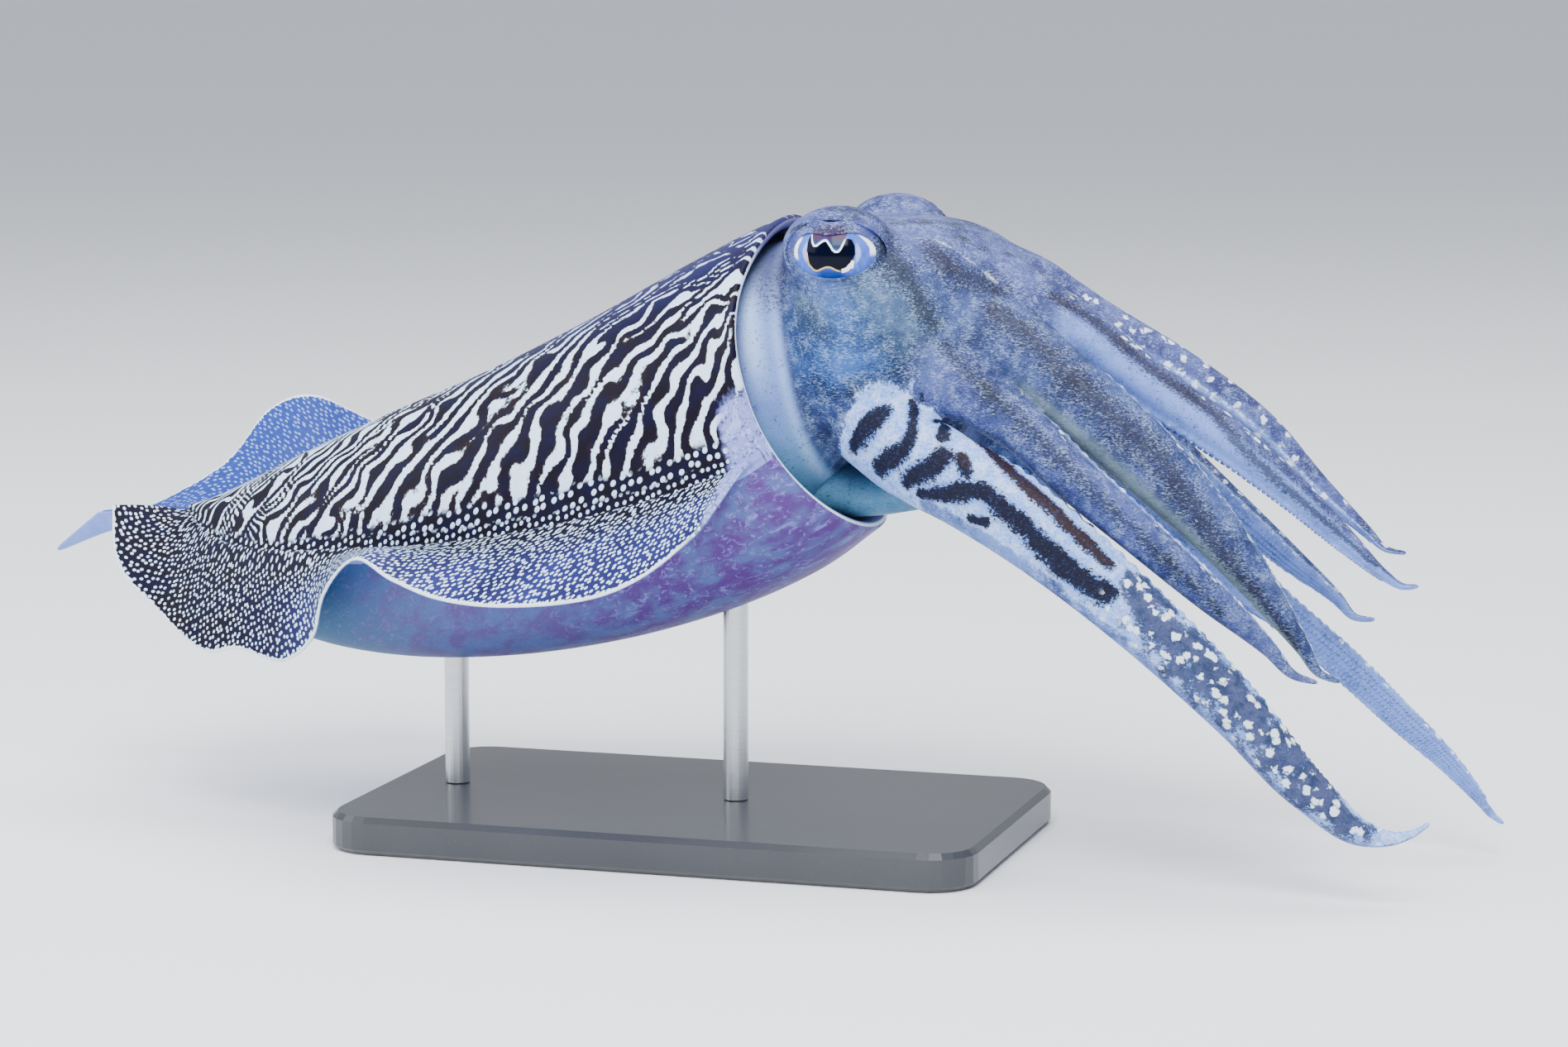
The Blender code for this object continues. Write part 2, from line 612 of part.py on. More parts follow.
def sucker(path, place, row, radius):
    """One cup: a short flared cup with a dimple, its root sunk in the arm."""
    middle, half, along, back, side = [values[0] for values in path.frame([place])]
    out = unit(-back + SUCKER_TILT * row * side)
    across = SUCKER_ROW * row * half[0]
    depth = ARM_ORAL_FLATTENING * half[1] * (1 - SUCKER_ROW ** (2 / ARM_FULLNESS)) ** (ARM_FULLNESS / 2)
    foot = middle + across * side - depth * back
    level = unit(along - (along @ out) * out)
    angles = np.radians(turn(SUCKER_SIDES))[:, None]
    circle = np.cos(angles) * level + np.sin(angles) * np.cross(out, level)
    rings = [foot - SUCKER_ROOT * radius * out + SUCKER_NECK * radius * circle,
             foot + SUCKER_HEIGHT * radius * out + radius * circle]
    centre = foot + (SUCKER_HEIGHT - SUCKER_DIMPLE) * radius * out
    cup = bmesh.new()
    rows = [[cup.verts.new(point * MM) for point in ring] for ring in rings]
    dimple = cup.verts.new(centre * MM)
    cup.faces.new(rows[0])
    for i in range(SUCKER_SIDES):
        j = (i + 1) % SUCKER_SIDES
        cup.faces.new((rows[0][i], rows[0][j], rows[1][j], rows[1][i]))
        cup.faces.new((rows[1][i], rows[1][j], dimple))
    bmesh.ops.recalc_face_normals(cup, faces=cup.faces)
    mesh = bpy.data.meshes.new("sucker")
    cup.to_mesh(mesh)
    cup.free()
    return finished("sucker", mesh, "arm")


def suckers(name, start, finish):
    """Two staggered rows of cups along one length of an arm, smaller towards the tip."""
    path = arm_path(name)
    pieces = []
    place, row = start, 1
    while True:
        width = through(path.knots, [place])[0, 3]
        vary = random.uniform(1 - SUCKER_VARIATION, 1 + SUCKER_VARIATION)
        radius = float(np.clip(SUCKER_SHARE * width, *SUCKER_RADII)) * vary
        place += 0.5 * SUCKER_SPACING * radius
        if place + radius + GAP > finish:
            return pieces
        pieces.append(sucker(path, place, row, radius))
        place += 0.5 * SUCKER_SPACING * radius
        row = -row


def arm_length(name, part, start, finish):
    """One length of a free arm with its suckers."""
    rings = arm_path(name).rings(steps(start, finish, ARM_STEP))
    arm = skin("arm_%s_%s" % (name, part), rings, "arm")
    combine(arm, suckers(name, start, finish), "UNION")
    return arm


def make_funnel():
    """The funnel's free end, a short tube with a blind bore."""
    path = Path(FUNNEL, (0, 0, 1))
    rings = list(path.rings(steps(FUNNEL_CUT + GAP, path.length, FUNNEL_STEP), FUNNEL_SIDES))
    middle, _, along, _, _ = path.frame([path.length - 0.01])
    mouth = middle[0] + FUNNEL_BORE * (rings[-1] - middle[0])
    bottom = mouth - FUNNEL_BORE_DEPTH * along[0]
    return skin("funnel", rings + [mouth, bottom], "neck")


def funnel_stub():
    """The root of the funnel under the neck."""
    path = Path(FUNNEL, (0, 0, 1))
    return skin("stub", path.rings(steps(0, FUNNEL_CUT, FUNNEL_STEP), FUNNEL_SIDES), "neck")


def turned(name, origin, axis, profile, sides, finish):
    """A solid turned about an axis, from a profile of (distance along, radius)."""
    axis = unit(axis)
    level = unit(np.cross(axis, (0, 1, 0)))
    across = np.cross(axis, level)
    angles = np.radians(turn(sides))[:, None]
    rings = [np.asarray(origin) + along * axis + radius * (np.cos(angles) * level + np.sin(angles) * across)
             for along, radius in profile]
    return skin(name, rings, finish)


def make_mouth():
    """The mouth: a short cone of lips on the head's face, with the mouth's opening sunk in it."""
    middle, _, _, ahead, _ = section_frame(HEAD, HEAD[-1][0])
    return turned("mouth", middle, ahead, MOUTH_PROFILE, MOUTH_SIDES, "neck")


def make_beak():
    """The tip of the beak, standing in the lips."""
    middle, _, _, ahead, _ = section_frame(HEAD, HEAD[-1][0])
    return turned("beak", middle, ahead, BEAK_PROFILE, BEAK_SIDES, "beak")


def make_head():
    """The head with its eye domes, lids, sockets and the roots of the eight arms."""
    head = skin("head", head_surface(np.linspace(0, HEAD[-1][0], HEAD_RINGS), turn(HEAD_SIDES)), "head")
    pieces = [arm_stub(name) for name in ARMS]
    cutters = []
    for side in (-1, 1):
        centre = (EYE_CENTRE[0], -side * EYE_CENTRE[1], EYE_CENTRE[2])
        pieces.append(ball("dome", centre, EYE_DOME, "head"))
        pieces += [lid(side, 12, 168), lid(side, 192, 348)]
        cutters.append(ball("socket", centre, np.array(EYE_RADII) + GAP, "head"))
        cutters.append(eye_opening(side))
    combine(head, pieces, "UNION")
    combine(head, cutters, "DIFFERENCE")
    return head


def make_eyes():
    """The two eyeballs in their sockets."""
    for name, side in (("eye_right", 1), ("eye_left", -1)):
        ball(name, (EYE_CENTRE[0], side * EYE_CENTRE[1], EYE_CENTRE[2]), EYE_RADII, "eye")


def rod(name, x, low, high, radius):
    """An upright round rod."""
    angles = np.radians(turn(ROD_SIDES))
    rings = [np.stack([x + radius * np.cos(angles), radius * np.sin(angles), np.full(ROD_SIDES, z)], axis=-1)
             for z in (low, high)]
    return skin(name, rings, "rod")


def make_base():
    """The flat base with rounded corners and eased edges."""
    length, width, height = BASE_SIZE
    outline = []
    for corner in range(4):
        mid_x = (length / 2 - BASE_CORNER) * (1 if corner in (0, 3) else -1)
        mid_y = (width / 2 - BASE_CORNER) * (1 if corner in (0, 1) else -1)
        for angle in np.radians(np.linspace(90 * corner, 90 * corner + 90, 7)):
            outline.append((mid_x, mid_y, np.cos(angle), np.sin(angle)))
    table = np.array(outline)
    rings = []
    for inset, rise in ((BASE_BEVEL, 0), (0, BASE_BEVEL), (0, height - BASE_BEVEL), (BASE_BEVEL, height)):
        x = BASE_MIDDLE_X + table[:, 0] + (BASE_CORNER - inset) * table[:, 2]
        y = table[:, 1] + (BASE_CORNER - inset) * table[:, 3]
        rings.append(np.stack([x, y, np.full(len(table), FLOOR_Z + rise)], axis=-1))
    return skin("stand_base", rings, "base")


def make_stand(rod_tops):
    """The base and the two rods."""
    make_base()
    for number, (x, _, top) in enumerate(rod_tops, 1):
        rod("stand_rod_%d" % number, x, FLOOR_Z + BASE_SIZE[2] + GAP, top, ROD_RADIUS)


def settle():
    """Move everything so that the middle of the underside of the whole box is the origin."""
    meshes = [thing.data for thing in bpy.context.scene.objects]
    points = np.concatenate([np.array([vertex.co for vertex in mesh.vertices]) for mesh in meshes])
    low, high = points.min(axis=0), points.max(axis=0)
    shift = Vector((-(low[0] + high[0]) / 2, -(low[1] + high[1]) / 2, -low[2]))
    for mesh in meshes:
        mesh.transform(Matrix.Translation(shift))


def main():
    """Build the whole model."""
    for thing in list(bpy.data.objects):
        bpy.data.objects.remove(thing)
    random.seed(7)
    rod_tops = [(x, low, low + ROD_DEPTH) for x, low in ROD_PLACES]
    make_mantle(rod_tops)
    make_fin("fin_right", FIN_EDGE_RIGHT, -1)
    make_fin("fin_left", FIN_EDGE_LEFT, 1)
    neck = make_neck()
    combine(neck, [funnel_stub()], "UNION")
    make_funnel()
    make_head()
    make_eyes()
    make_mouth()
    make_beak()
    for name, arm in ARMS.items():
        length = arm_path(name).length
        arm_length(name, "base", arm["cut"] + GAP, arm["split"])
        arm_length(name, "tip", arm["split"] + GAP, length)
    make_stand(rod_tops)
    settle()


main()
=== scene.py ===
"""Looks of the life-size common cuttlefish display model on its plain stand.

Sizes are in millimetres in the animal's own frame: +X from tail to head, +Y to its left, +Z up, with
X = 0 at the hind end of the mantle. Each mesh is moved into the frame's metres as it is made.
"""
import logging
import math
from dataclasses import dataclass, field
from enum import Enum
from functools import lru_cache
from typing import Callable

import bmesh
import bpy
import numpy as np
from mathutils import Matrix, Vector


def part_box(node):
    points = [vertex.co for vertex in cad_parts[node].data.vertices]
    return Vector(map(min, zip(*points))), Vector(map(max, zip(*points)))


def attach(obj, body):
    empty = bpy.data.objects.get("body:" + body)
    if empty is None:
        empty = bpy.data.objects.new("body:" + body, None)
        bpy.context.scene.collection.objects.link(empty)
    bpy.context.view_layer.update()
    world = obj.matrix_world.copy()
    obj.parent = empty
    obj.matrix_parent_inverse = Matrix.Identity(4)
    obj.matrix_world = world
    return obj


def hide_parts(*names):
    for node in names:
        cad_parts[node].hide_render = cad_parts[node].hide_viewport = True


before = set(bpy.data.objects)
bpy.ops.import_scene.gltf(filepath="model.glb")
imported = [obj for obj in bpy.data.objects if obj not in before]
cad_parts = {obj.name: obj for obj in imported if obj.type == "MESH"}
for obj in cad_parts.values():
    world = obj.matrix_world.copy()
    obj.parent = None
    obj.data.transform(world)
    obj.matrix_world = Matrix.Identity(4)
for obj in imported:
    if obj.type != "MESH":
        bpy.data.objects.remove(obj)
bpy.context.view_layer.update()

LOG = logging.getLogger("cuttlefish")
MM = 0.001
BASE_MIDDLE = (158.0, 0.0, -88.0)
PICTURE_WIDTH = 1896
PIXELS_PER_MM = 4.24
CAMERA_TARGET = (184.5, 0, 4)
LIGHT_TARGET = (150, 0, 20)
Array = np.ndarray
Piece = bpy.types.Object
Form = tuple[Array, list]
Pair = tuple[float, float]
Triple = tuple[float, float, float]
Pairs = tuple[Pair, ...]
Knots = tuple[tuple, ...]
Lines = tuple[list[tuple], ...]


class Side(Enum):
    """The two sides of the animal, valued by the sign of Y."""

    RIGHT = -1
    LEFT = 1


def through(knots: Knots, places: Array) -> Array:
    """Values of a smooth curve through (place, value, ...) knots, a cubic with averaged slopes.

    Args:
        knots: rows of a place followed by the values there.
        places: where the curve is read.

    Returns:
        One row of values for each place.
    """
    table = np.array(knots, dtype=float)
    knot, value = table[:, 0], table[:, 1:]
    slope = np.gradient(value, knot, axis=0)
    places = np.clip(np.asarray(places, dtype=float), knot[0], knot[-1])
    low = np.clip(np.searchsorted(knot, places, side="right") - 1, 0, len(knot) - 2)
    span = (knot[low + 1] - knot[low])[:, None]
    t = (places - knot[low])[:, None] / span
    start = (1 + 2 * t) * (1 - t) ** 2 * value[low] + t * (1 - t) ** 2 * span * slope[low]
    finish = t * t * (3 - 2 * t) * value[low + 1] + t * t * (t - 1) * span * slope[low + 1]
    return start + finish


def full(value: Array, fullness: float | Array) -> Array:
    """A sine or cosine raised to a power with its sign kept, which squares an oval's corners."""
    return np.sign(value) * np.abs(value) ** fullness


def oval(degrees: Array, fullness: float | Array) -> tuple[Array, Array]:
    """Height and breadth of a squared oval of radius one at angles from its top."""
    angles = np.radians(degrees)
    return full(np.cos(angles), fullness), full(np.sin(angles), fullness)


def spread(columns: int) -> Array:
    """Angles in degrees, evenly once round."""
    return np.arange(columns) * 360.0 / columns


def facing(knot: tuple) -> tuple[Array, Array]:
    """The middle of a (station, top x, top z, low x, low z, half) oval and the way forward from it."""
    top_x, top_z, low_x, low_z = knot[1:5]
    up = unit([top_x - low_x, 0, top_z - low_z])
    return np.array([(top_x + low_x) / 2, 0, (top_z + low_z) / 2]), np.array([up[2], 0, -up[0]])


def unit(vectors: Array) -> Array:
    """The vectors at length one, along the last axis."""
    vectors = np.asarray(vectors, dtype=float)
    return vectors / np.maximum(np.linalg.norm(vectors, axis=-1, keepdims=True), 1e-12)


def ease(value: Array, low: float | Array, high: float | Array) -> Array:
    """A smooth step from 0 at low to 1 at high."""
    t = np.clip((np.asarray(value, dtype=float) - low) / (np.asarray(high) - low), 0, 1)
    return t * t * (3 - 2 * t)


def bell(value: Array, middle: float | Array, width: float | Array) -> Array:
    """A smooth hump of height one about a middle."""
    return np.exp(-0.5 * ((np.asarray(value, dtype=float) - middle) / width) ** 2)


def running_length(points: Array, axis: int = 0) -> Array:
    """Length along rows of points, from 0 at the first."""
    steps = np.linalg.norm(np.diff(points, axis=axis), axis=-1)
    start = np.zeros_like(np.take(steps, [0], axis=axis))
    return np.concatenate([start, np.cumsum(steps, axis=axis)], axis=axis)


def srgb(red: float, green: float, blue: float) -> tuple[float, ...]:
    """A colour given as it looks on a screen, from 0 to 1, as linear light."""
    linear = [c / 12.92 if c <= 0.04045 else ((c + 0.055) / 1.055) ** 2.4 for c in (red, green, blue)]
    return (*linear, 1.0)


def shift_to_frame() -> Array:
    """What moves the animal's millimetres into the frame's millimetres, read from the stand's base."""
    low, high = (np.array(corner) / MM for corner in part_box("stand_base"))
    return np.array([(low[0] + high[0]) / 2, (low[1] + high[1]) / 2, low[2]]) - np.array(BASE_MIDDLE)


SHIFT = shift_to_frame()


def linked(name: str, data: bpy.types.ID) -> Piece:
    """A new object on its data, in the scene."""
    thing = bpy.data.objects.new(name, data)
    bpy.context.scene.collection.objects.link(thing)
    return thing


def make_piece(name: str, points: Array, faces: list, nodes: list[str], slot: str) -> Piece:
    """A closed mesh object that rides on the body, with its place in its mesh.

    Args:
        name: the piece's name.
        points: its points in the animal's millimetres.
        faces: lists of point numbers, which may mix triangles and quads.
        nodes: the CAD nodes that it stands for.
        slot: the record's material slot; not used.

    Returns:
        The new object, with its normals made to point out.
    """
    mesh = bpy.data.meshes.new(name)
    mesh.from_pydata((np.asarray(points).reshape(-1, 3) + SHIFT) * MM, [], faces)
    shell = bmesh.new()
    shell.from_mesh(mesh)
    bmesh.ops.recalc_face_normals(shell, faces=shell.faces)
    shell.to_mesh(mesh)
    shell.free()
    mesh.shade_smooth()
    piece = linked(name, mesh)
    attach(piece, "root")
    if nodes:
        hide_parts(*nodes)
    LOG.info("%s: %d points, %d faces", name, len(mesh.vertices), len(faces))
    return piece


def set_values(piece: Piece, **values: Array) -> None:
    """Store numbers, or colours in rows of three, on the points of a piece under their names."""
    for name, data in values.items():
        data = np.asarray(data, dtype=np.float32)
        if data.ndim == 2:
            data = np.column_stack([data, np.ones(len(data), dtype=np.float32)])
            attribute = piece.data.attributes.new(name, "FLOAT_COLOR", "POINT")
            attribute.data.foreach_set("color", data.ravel())
        else:
            attribute = piece.data.attributes.new(name, "FLOAT", "POINT")
            attribute.data.foreach_set("value", data)


def set_map(piece: Piece, places: Array) -> None:
    """Give a piece a UV map, in millimetres, from one place for each of its points."""
    loops = np.empty(len(piece.data.loops), dtype=np.int32)
    piece.data.loops.foreach_get("vertex_index", loops)
    layer = piece.data.uv_layers.new(name="Skin")
    layer.uv.foreach_set("vector", np.asarray(places, dtype=np.float32)[loops].ravel())


def grid_faces(rows: int, columns: int) -> Array:
    """Quads that join a grid of points row to row, closed round its columns."""
    row, column = np.indices((rows - 1, columns))
    following = (column + 1) % columns
    here, there = row * columns, (row + 1) * columns
    return np.stack([here + column, here + following, there + following, there + column], -1).reshape(-1, 4)


def fan(first: int, columns: int, middle: int) -> Array:
    """Triangles from a ring of points, numbered from a first one, to a middle point."""
    column = np.arange(columns)
    return np.stack([first + column, first + (column + 1) % columns, np.full(columns, middle)], -1)


def tube(rings: Array) -> Form:
    """A closed form from rings of points, with a middle point closing each end.

    Args:
        rings: rings by points by xyz.

    Returns:
        Its points and faces.
    """
    rows, columns = rings.shape[:2]
    points = np.concatenate([rings.reshape(-1, 3), [rings[0].mean(axis=0), rings[-1].mean(axis=0)]])
    first_cap = fan(0, columns, rows * columns)[:, [1, 0, 2]]
    last_cap = fan((rows - 1) * columns, columns, rows * columns + 1)
    return points, grid_faces(rows, columns).tolist() + first_cap.tolist() + last_cap.tolist()


def joined(forms: list[Form]) -> Form:
    """Several forms' points and faces as one list of each."""
    points, faces, start = [], [], 0
    for form_points, form_faces in forms:
        points.append(form_points)
        faces += [[start + corner for corner in face] for face in form_faces]
        start += len(form_points)
    return np.concatenate(points), faces


def operator(operation: str, reflected: bool = False) -> Callable[..., "Link"]:
    """A method that adds one Math node on a link and another value, or on the two the other way round."""

    def method(self: "Link", other: "Link | float" = 0.0) -> "Link":
        """The Math node's result."""
        first, second = (other, self) if reflected else (self, other)
        return self.shader.node("Math", {"operation": operation}, {0: first, 1: second})

    return method


class Link:
    """A shader socket in sums: every operator adds a Math node, and a plain number stays one."""

    __add__, __radd__ = operator("ADD"), operator("ADD", True)
    __sub__, __rsub__ = operator("SUBTRACT"), operator("SUBTRACT", True)
    __mul__, __rmul__ = operator("MULTIPLY"), operator("MULTIPLY", True)
    __truediv__ = operator("DIVIDE")
    __pow__ = operator("POWER")
    __abs__ = operator("ABSOLUTE")
    least = operator("MINIMUM")
    most = operator("MAXIMUM")

    def __init__(self, shader: "Shader", socket: bpy.types.NodeSocket) -> None:
        """Keep the socket and the shader that it belongs to."""
        self.shader = shader
        self.socket = socket

    def ease(self, low: float, high: float) -> "Link":
        """A smooth step of this, from 0 at low to 1 at high, either way round."""
        if low > high:
            return 1.0 - self.ease(high, low)
        return self.shader.node("MapRange", {"interpolation_type": "SMOOTHSTEP"},
                                {"Value": self, "From Min": low, "From Max": high})


class Shader:
    """A material's node tree, built round one Principled shader."""

    def __init__(self, name: str, roughness: float, **fixed: float) -> None:
        """Start a material.

        Args:
            name: the material's name.
            roughness: its plain roughness.
            fixed: other sockets of the shader by their names, with _ for a space.
        """
        self.material = bpy.data.materials.new(name)
        self.material.use_nodes = True
        self.tree = self.material.node_tree
        self.surface = self.tree.nodes["Principled BSDF"]
        self.surface.inputs["Roughness"].default_value = roughness
        for socket, value in fixed.items():
            self.surface.inputs[socket.replace("_", " ")].default_value = value

    def node(self, kind: str, settings: dict | None = None, values: dict | None = None,
             output: str | int = 0) -> Link:
        """Add any node.

        Args:
            kind: the node's type, without ShaderNode before it.
            settings: its properties, set before its sockets.
            values: a number, colour, vector or Link for each input, by name or number.
            output: which output comes back.

        Returns:
            The output as a Link.
        """
        node = self.tree.nodes.new("ShaderNode" + kind)
        for name, value in (settings or {}).items():
            if name == "stops":
                self._set_stops(node.color_ramp, value)
            else:
                setattr(node, name, value)
        for name, value in (values or {}).items():
            if isinstance(value, Link):
                self.tree.links.new(value.socket, node.inputs[name])
            else:
                node.inputs[name].default_value = value
        return Link(self, node.outputs[output])

    def _set_stops(self, ramp: bpy.types.ColorRamp, stops: Pairs) -> None:
        """Give a ramp its (place, grey) stops and a smooth curve between them."""
        ramp.interpolation = "CARDINAL"
        while len(ramp.elements) < len(stops):
            ramp.elements.new(0.5)
        for element, (place, grey) in zip(ramp.elements, stops):
            element.position = place
            element.color = (grey, grey, grey, 1.0)

    def curve(self, value: Link, points: Pairs, span: float) -> Link:
        """A smooth curve through (value, height) points, both within plus or minus a span."""
        stops = [((x + span) / (2 * span), (y + span) / (2 * span)) for x, y in points]
        ramp = self.node("ValToRGB", {"stops": stops}, {"Fac": (value + span) / (2 * span)})
        grey = self.node("SeparateColor", None, {"Color": ramp})
        return grey * (2 * span) - span

    def stored(self, name: str, output: str = "Fac") -> Link:
        """A number stored on the piece, or with the Color output a colour."""
        return self.node("Attribute", {"attribute_name": name}, output=output)

    def place(self, scale: Triple = (1000, 1000, 1000), turn: Triple = (0, 0, 0),
              space: str = "Object") -> Link:
        """The Object place, in millimetres unless scaled otherwise."""
        return self.node("Mapping", {"vector_type": "POINT"},
                         {"Vector": self.node("TexCoord", output=space), "Scale": scale, "Rotation": turn})

    def map_place(self, scale: Triple = (1, 1, 1)) -> Link:
        """The place on the piece's own map, in millimetres unless scaled otherwise."""
        return self.place(scale, space="UV")

    def noise(self, place: Link, size: float, detail: float = 3.0, roughness: float = 0.5,
              distortion: float = 0.0) -> Link:
        """Cloudy noise from 0 to 1 whose features are about a size across."""
        return self.node("TexNoise", {"noise_dimensions": "3D"},
                         {"Vector": place, "Scale": 1.0 / size, "Detail": detail, "Roughness": roughness,
                          "Distortion": distortion})

    def cells(self, place: Link, size: float, randomness: float, dimensions: str = "2D") -> Link:
        """Distance to the middle of the nearest of scattered cells, in cells."""
        return self.node("TexVoronoi", {"voronoi_dimensions": dimensions, "feature": "F1"},
                         {"Vector": place, "Scale": 1.0 / size, "Randomness": randomness}, "Distance")

    def shifted(self, place: Link, source: Link, amount: float) -> Link:
        """A place moved about by a colour noise, by up to an amount."""
        centred = self.node("VectorMath", {"operation": "SUBTRACT"}, {0: source, 1: (0.5, 0.5, 0.5)})
        scaled = self.node("VectorMath", {"operation": "SCALE"}, {0: centred, "Scale": amount})
        return self.node("VectorMath", {"operation": "ADD"}, {0: place, 1: scaled})

    def mix(self, amount: Link | float, first: Link | Triple, second: Link | Triple,
            blend: str = "MIX") -> Link:
        """A mix of two colours, where a triple is a colour as it looks on a screen."""
        ends = [srgb(*end) if isinstance(end, tuple) and len(end) == 3 else end for end in (first, second)]
        return self.node("Mix", {"data_type": "RGBA", "blend_type": blend},
                         {0: amount, 6: ends[0], 7: ends[1]}, 2)

    def bump(self, height: Link, distance: float, strength: float = 1.0) -> Link:
        """A Bump node for a height from 0 to 1, in millimetres of distance."""
        return self.node("Bump", None,
                         {"Height": height, "Distance": distance * MM, "Strength": strength}, "Normal")

    def wire(self, **links: Link) -> None:
        """Feed sockets of the Principled shader, by their names with _ for a space."""
        for name, link in links.items():
            self.tree.links.new(link.socket, self.surface.inputs[name.replace("_", " ")])


def placed(piece: Piece) -> Array:
    """A piece's points in the animal's millimetres."""
    flat = np.empty(3 * len(piece.data.vertices), dtype=np.float32)
    piece.data.vertices.foreach_get("co", flat)
    return flat.reshape(-1, 3) / MM - SHIFT


def dress(piece: Piece, shader: Shader) -> None:
    """Give a piece one material."""
    piece.data.materials.clear()
    piece.data.materials.append(shader.material)


@dataclass
class BodyShape:
    """The mantle's form: ovals between a top and a bottom line."""

    knots: Knots = (
        (0, 0, 2.5, 0.5, -3, 3), (1, 8, 5, 9, -14, 12), (2, 20, 10.5, 22, -26, 21),
        (3, 40, 20.5, 43, -35.5, 31.5), (4, 66, 32.5, 72, -39, 39.5), (5, 97, 46, 106, -37, 46.5),
        (6, 128, 61.5, 140, -30.5, 50.5), (7, 156, 77, 171, -20.5, 51.5), (8, 175, 87, 195, -9, 49),
        (9, 186, 92, 212, 3.5, 45.5))
    fullness: float = 0.9
    rim_setback: float = 13.5
    setback_stations: float = 2.2

    @property
    def last(self) -> float:
        """The station of the rim."""
        return float(self.knots[-1][0])

    def setback(self, stations: Array, degrees: Array) -> Array:
        """How far the front is drawn back: a sine squared round the body, growing to the rim."""
        growth = np.clip(1 - (self.last - stations) / self.setback_stations, 0, 1) ** 1.5
        return growth * self.rim_setback * np.sin(np.radians(degrees)) ** 2

    def surface(self, stations: Array, degrees: Array) -> Array:
        """Points of the outside of the mantle.

        Args:
            stations: one for each row.
            degrees: angles from the top, towards the right side, as one list or a list for each row.

        Returns:
            Rows by angles by xyz.
        """
        stations = np.asarray(stations, dtype=float)
        degrees = np.broadcast_to(degrees, (len(stations), np.shape(degrees)[-1]))
        top_x, top_z, low_x, low_z, half = through(self.knots, stations).T[:, :, None]
        lift, side = oval(degrees, self.fullness)
        x = (top_x + low_x) / 2 + lift * (top_x - low_x) / 2 - self.setback(stations[:, None], degrees)
        z = (top_z + low_z) / 2 + lift * (top_z - low_z) / 2
        return np.stack([x, -side * half, z], axis=-1)

    def frames(self, stations: Array) -> tuple[Array, ...]:
        """Middles, half heights, upward and forward directions and half widths of ovals."""
        top_x, top_z, low_x, low_z, half = through(self.knots, stations).T
        middle = np.stack([(top_x + low_x) / 2, 0 * half, (top_z + low_z) / 2], -1)
        rise = np.stack([top_x - low_x, 0 * half, top_z - low_z], -1)
        up = unit(rise)
        ahead = np.stack([up[:, 2], 0 * half, -up[:, 0]], -1)
        return middle, np.linalg.norm(rise, axis=-1) / 2, up, ahead, half

    def rim_ring(self, degrees: Array, inset: float, forward: float) -> Array:
        """The rim's oval drawn in by an inset and moved forward, drawn back at the sides as the rim is."""
        middle, height, up, ahead, half = (values[0] for values in self.frames(np.array([self.last])))
        lift, side = (part[:, None] for part in oval(degrees, self.fullness))
        ring = middle + forward * ahead + lift * (height - inset) * up
        ring[:, 1:2] -= side * (half - inset)
        share = max(0.0, 1 + min(forward, 0) / 19)
        ring[:, 0] -= share * self.setback(np.array([self.last]), degrees)
        return ring

    def pushed_clear(self, points: Array, stand_off: float) -> Array:
        """Points moved out from the middle of the nearest oval until they stand off from the body."""
        stations = np.linspace(0, self.last, 241)
        middle, height, up, ahead, half = self.frames(stations)
        flat = np.asarray(points, dtype=float).reshape(-1, 3)
        setback = np.zeros(len(flat))
        plane = np.einsum("sk,sk->s", middle, ahead)
        for _ in range(3):
            moved = flat + setback[:, None] * np.array([1, 0, 0])
            at = np.abs(moved @ ahead.T - plane).argmin(axis=1)
            away = moved - middle[at]
            rise = np.einsum("pk,pk->p", away, up[at])
            degrees = np.degrees(np.arctan2(-away[:, 1], rise))
            setback = self.setback(stations[at], degrees)
        reach = np.maximum(np.hypot(rise, away[:, 1]), 1e-6)
        power = 2 / self.fullness
        shape = (np.abs(rise / reach) / height[at]) ** power
        shape = shape + (np.abs(away[:, 1] / reach) / half[at]) ** power
        growth = np.maximum((shape ** (-1 / power) + stand_off) / reach, 1) - 1
        flat = flat + growth[:, None] * (rise[:, None] * up[at] + away[:, 1:2] * np.array([0, 1, 0]))
        return flat.reshape(np.shape(points))


@dataclass
class FinShape:
    """One fin: its root's angle round the mantle and the line of its edge."""

    side: Side
    edge: Knots
    root: Knots = ((0, 88), (4, 92), (6, 99), (8, 107), (9, 112))
    front: float = 8.45
    root_thickness: float = 4.2
    edge_thickness: float = 0.9
    bow: float = 0.06


FIN_EDGES = {
    Side.RIGHT: [
        (0.0, -21.4, -9, 2.1), (0.35, -17, -17, -12), (0.9, 0.7, -24, -27), (1.6, 17.9, -31, -36),
        (2.2, 30, -35, -34), (2.9, 48.4, -41, -35.5), (3.35, 59, -47, -27), (3.75, 66, -56, -14),
        (4.3, 79.5, -66, -1.6), (4.9, 93, -71, -6), (5.4, 106, -73, -10), (6.2, 131, -75, -11),
        (7.0, 158, -75, -6), (7.7, 175, -70.5, 5), (8.2, 184, -63, 16), (8.45, 187.5, -52, 25.5)],
    Side.LEFT: [
        (0.0, -33, 5, -2), (0.3, -49, 9, -14.5), (0.7, -27, 20, -4), (1.3, -3, 27, 10), (2.0, 9, 38, 27),
        (2.6, 21, 43, 31), (3.2, 35, 50, 24), (3.8, 56, 60, 12), (4.4, 74, 67, -2), (5.0, 92, 72, -8),
        (5.6, 112, 75, -5), (6.3, 134, 76, -9), (7.0, 158, 75, -5), (7.7, 175, 70, 5), (8.2, 184, 63, 16),
        (8.45, 187.5, 52, 25.5)],
}


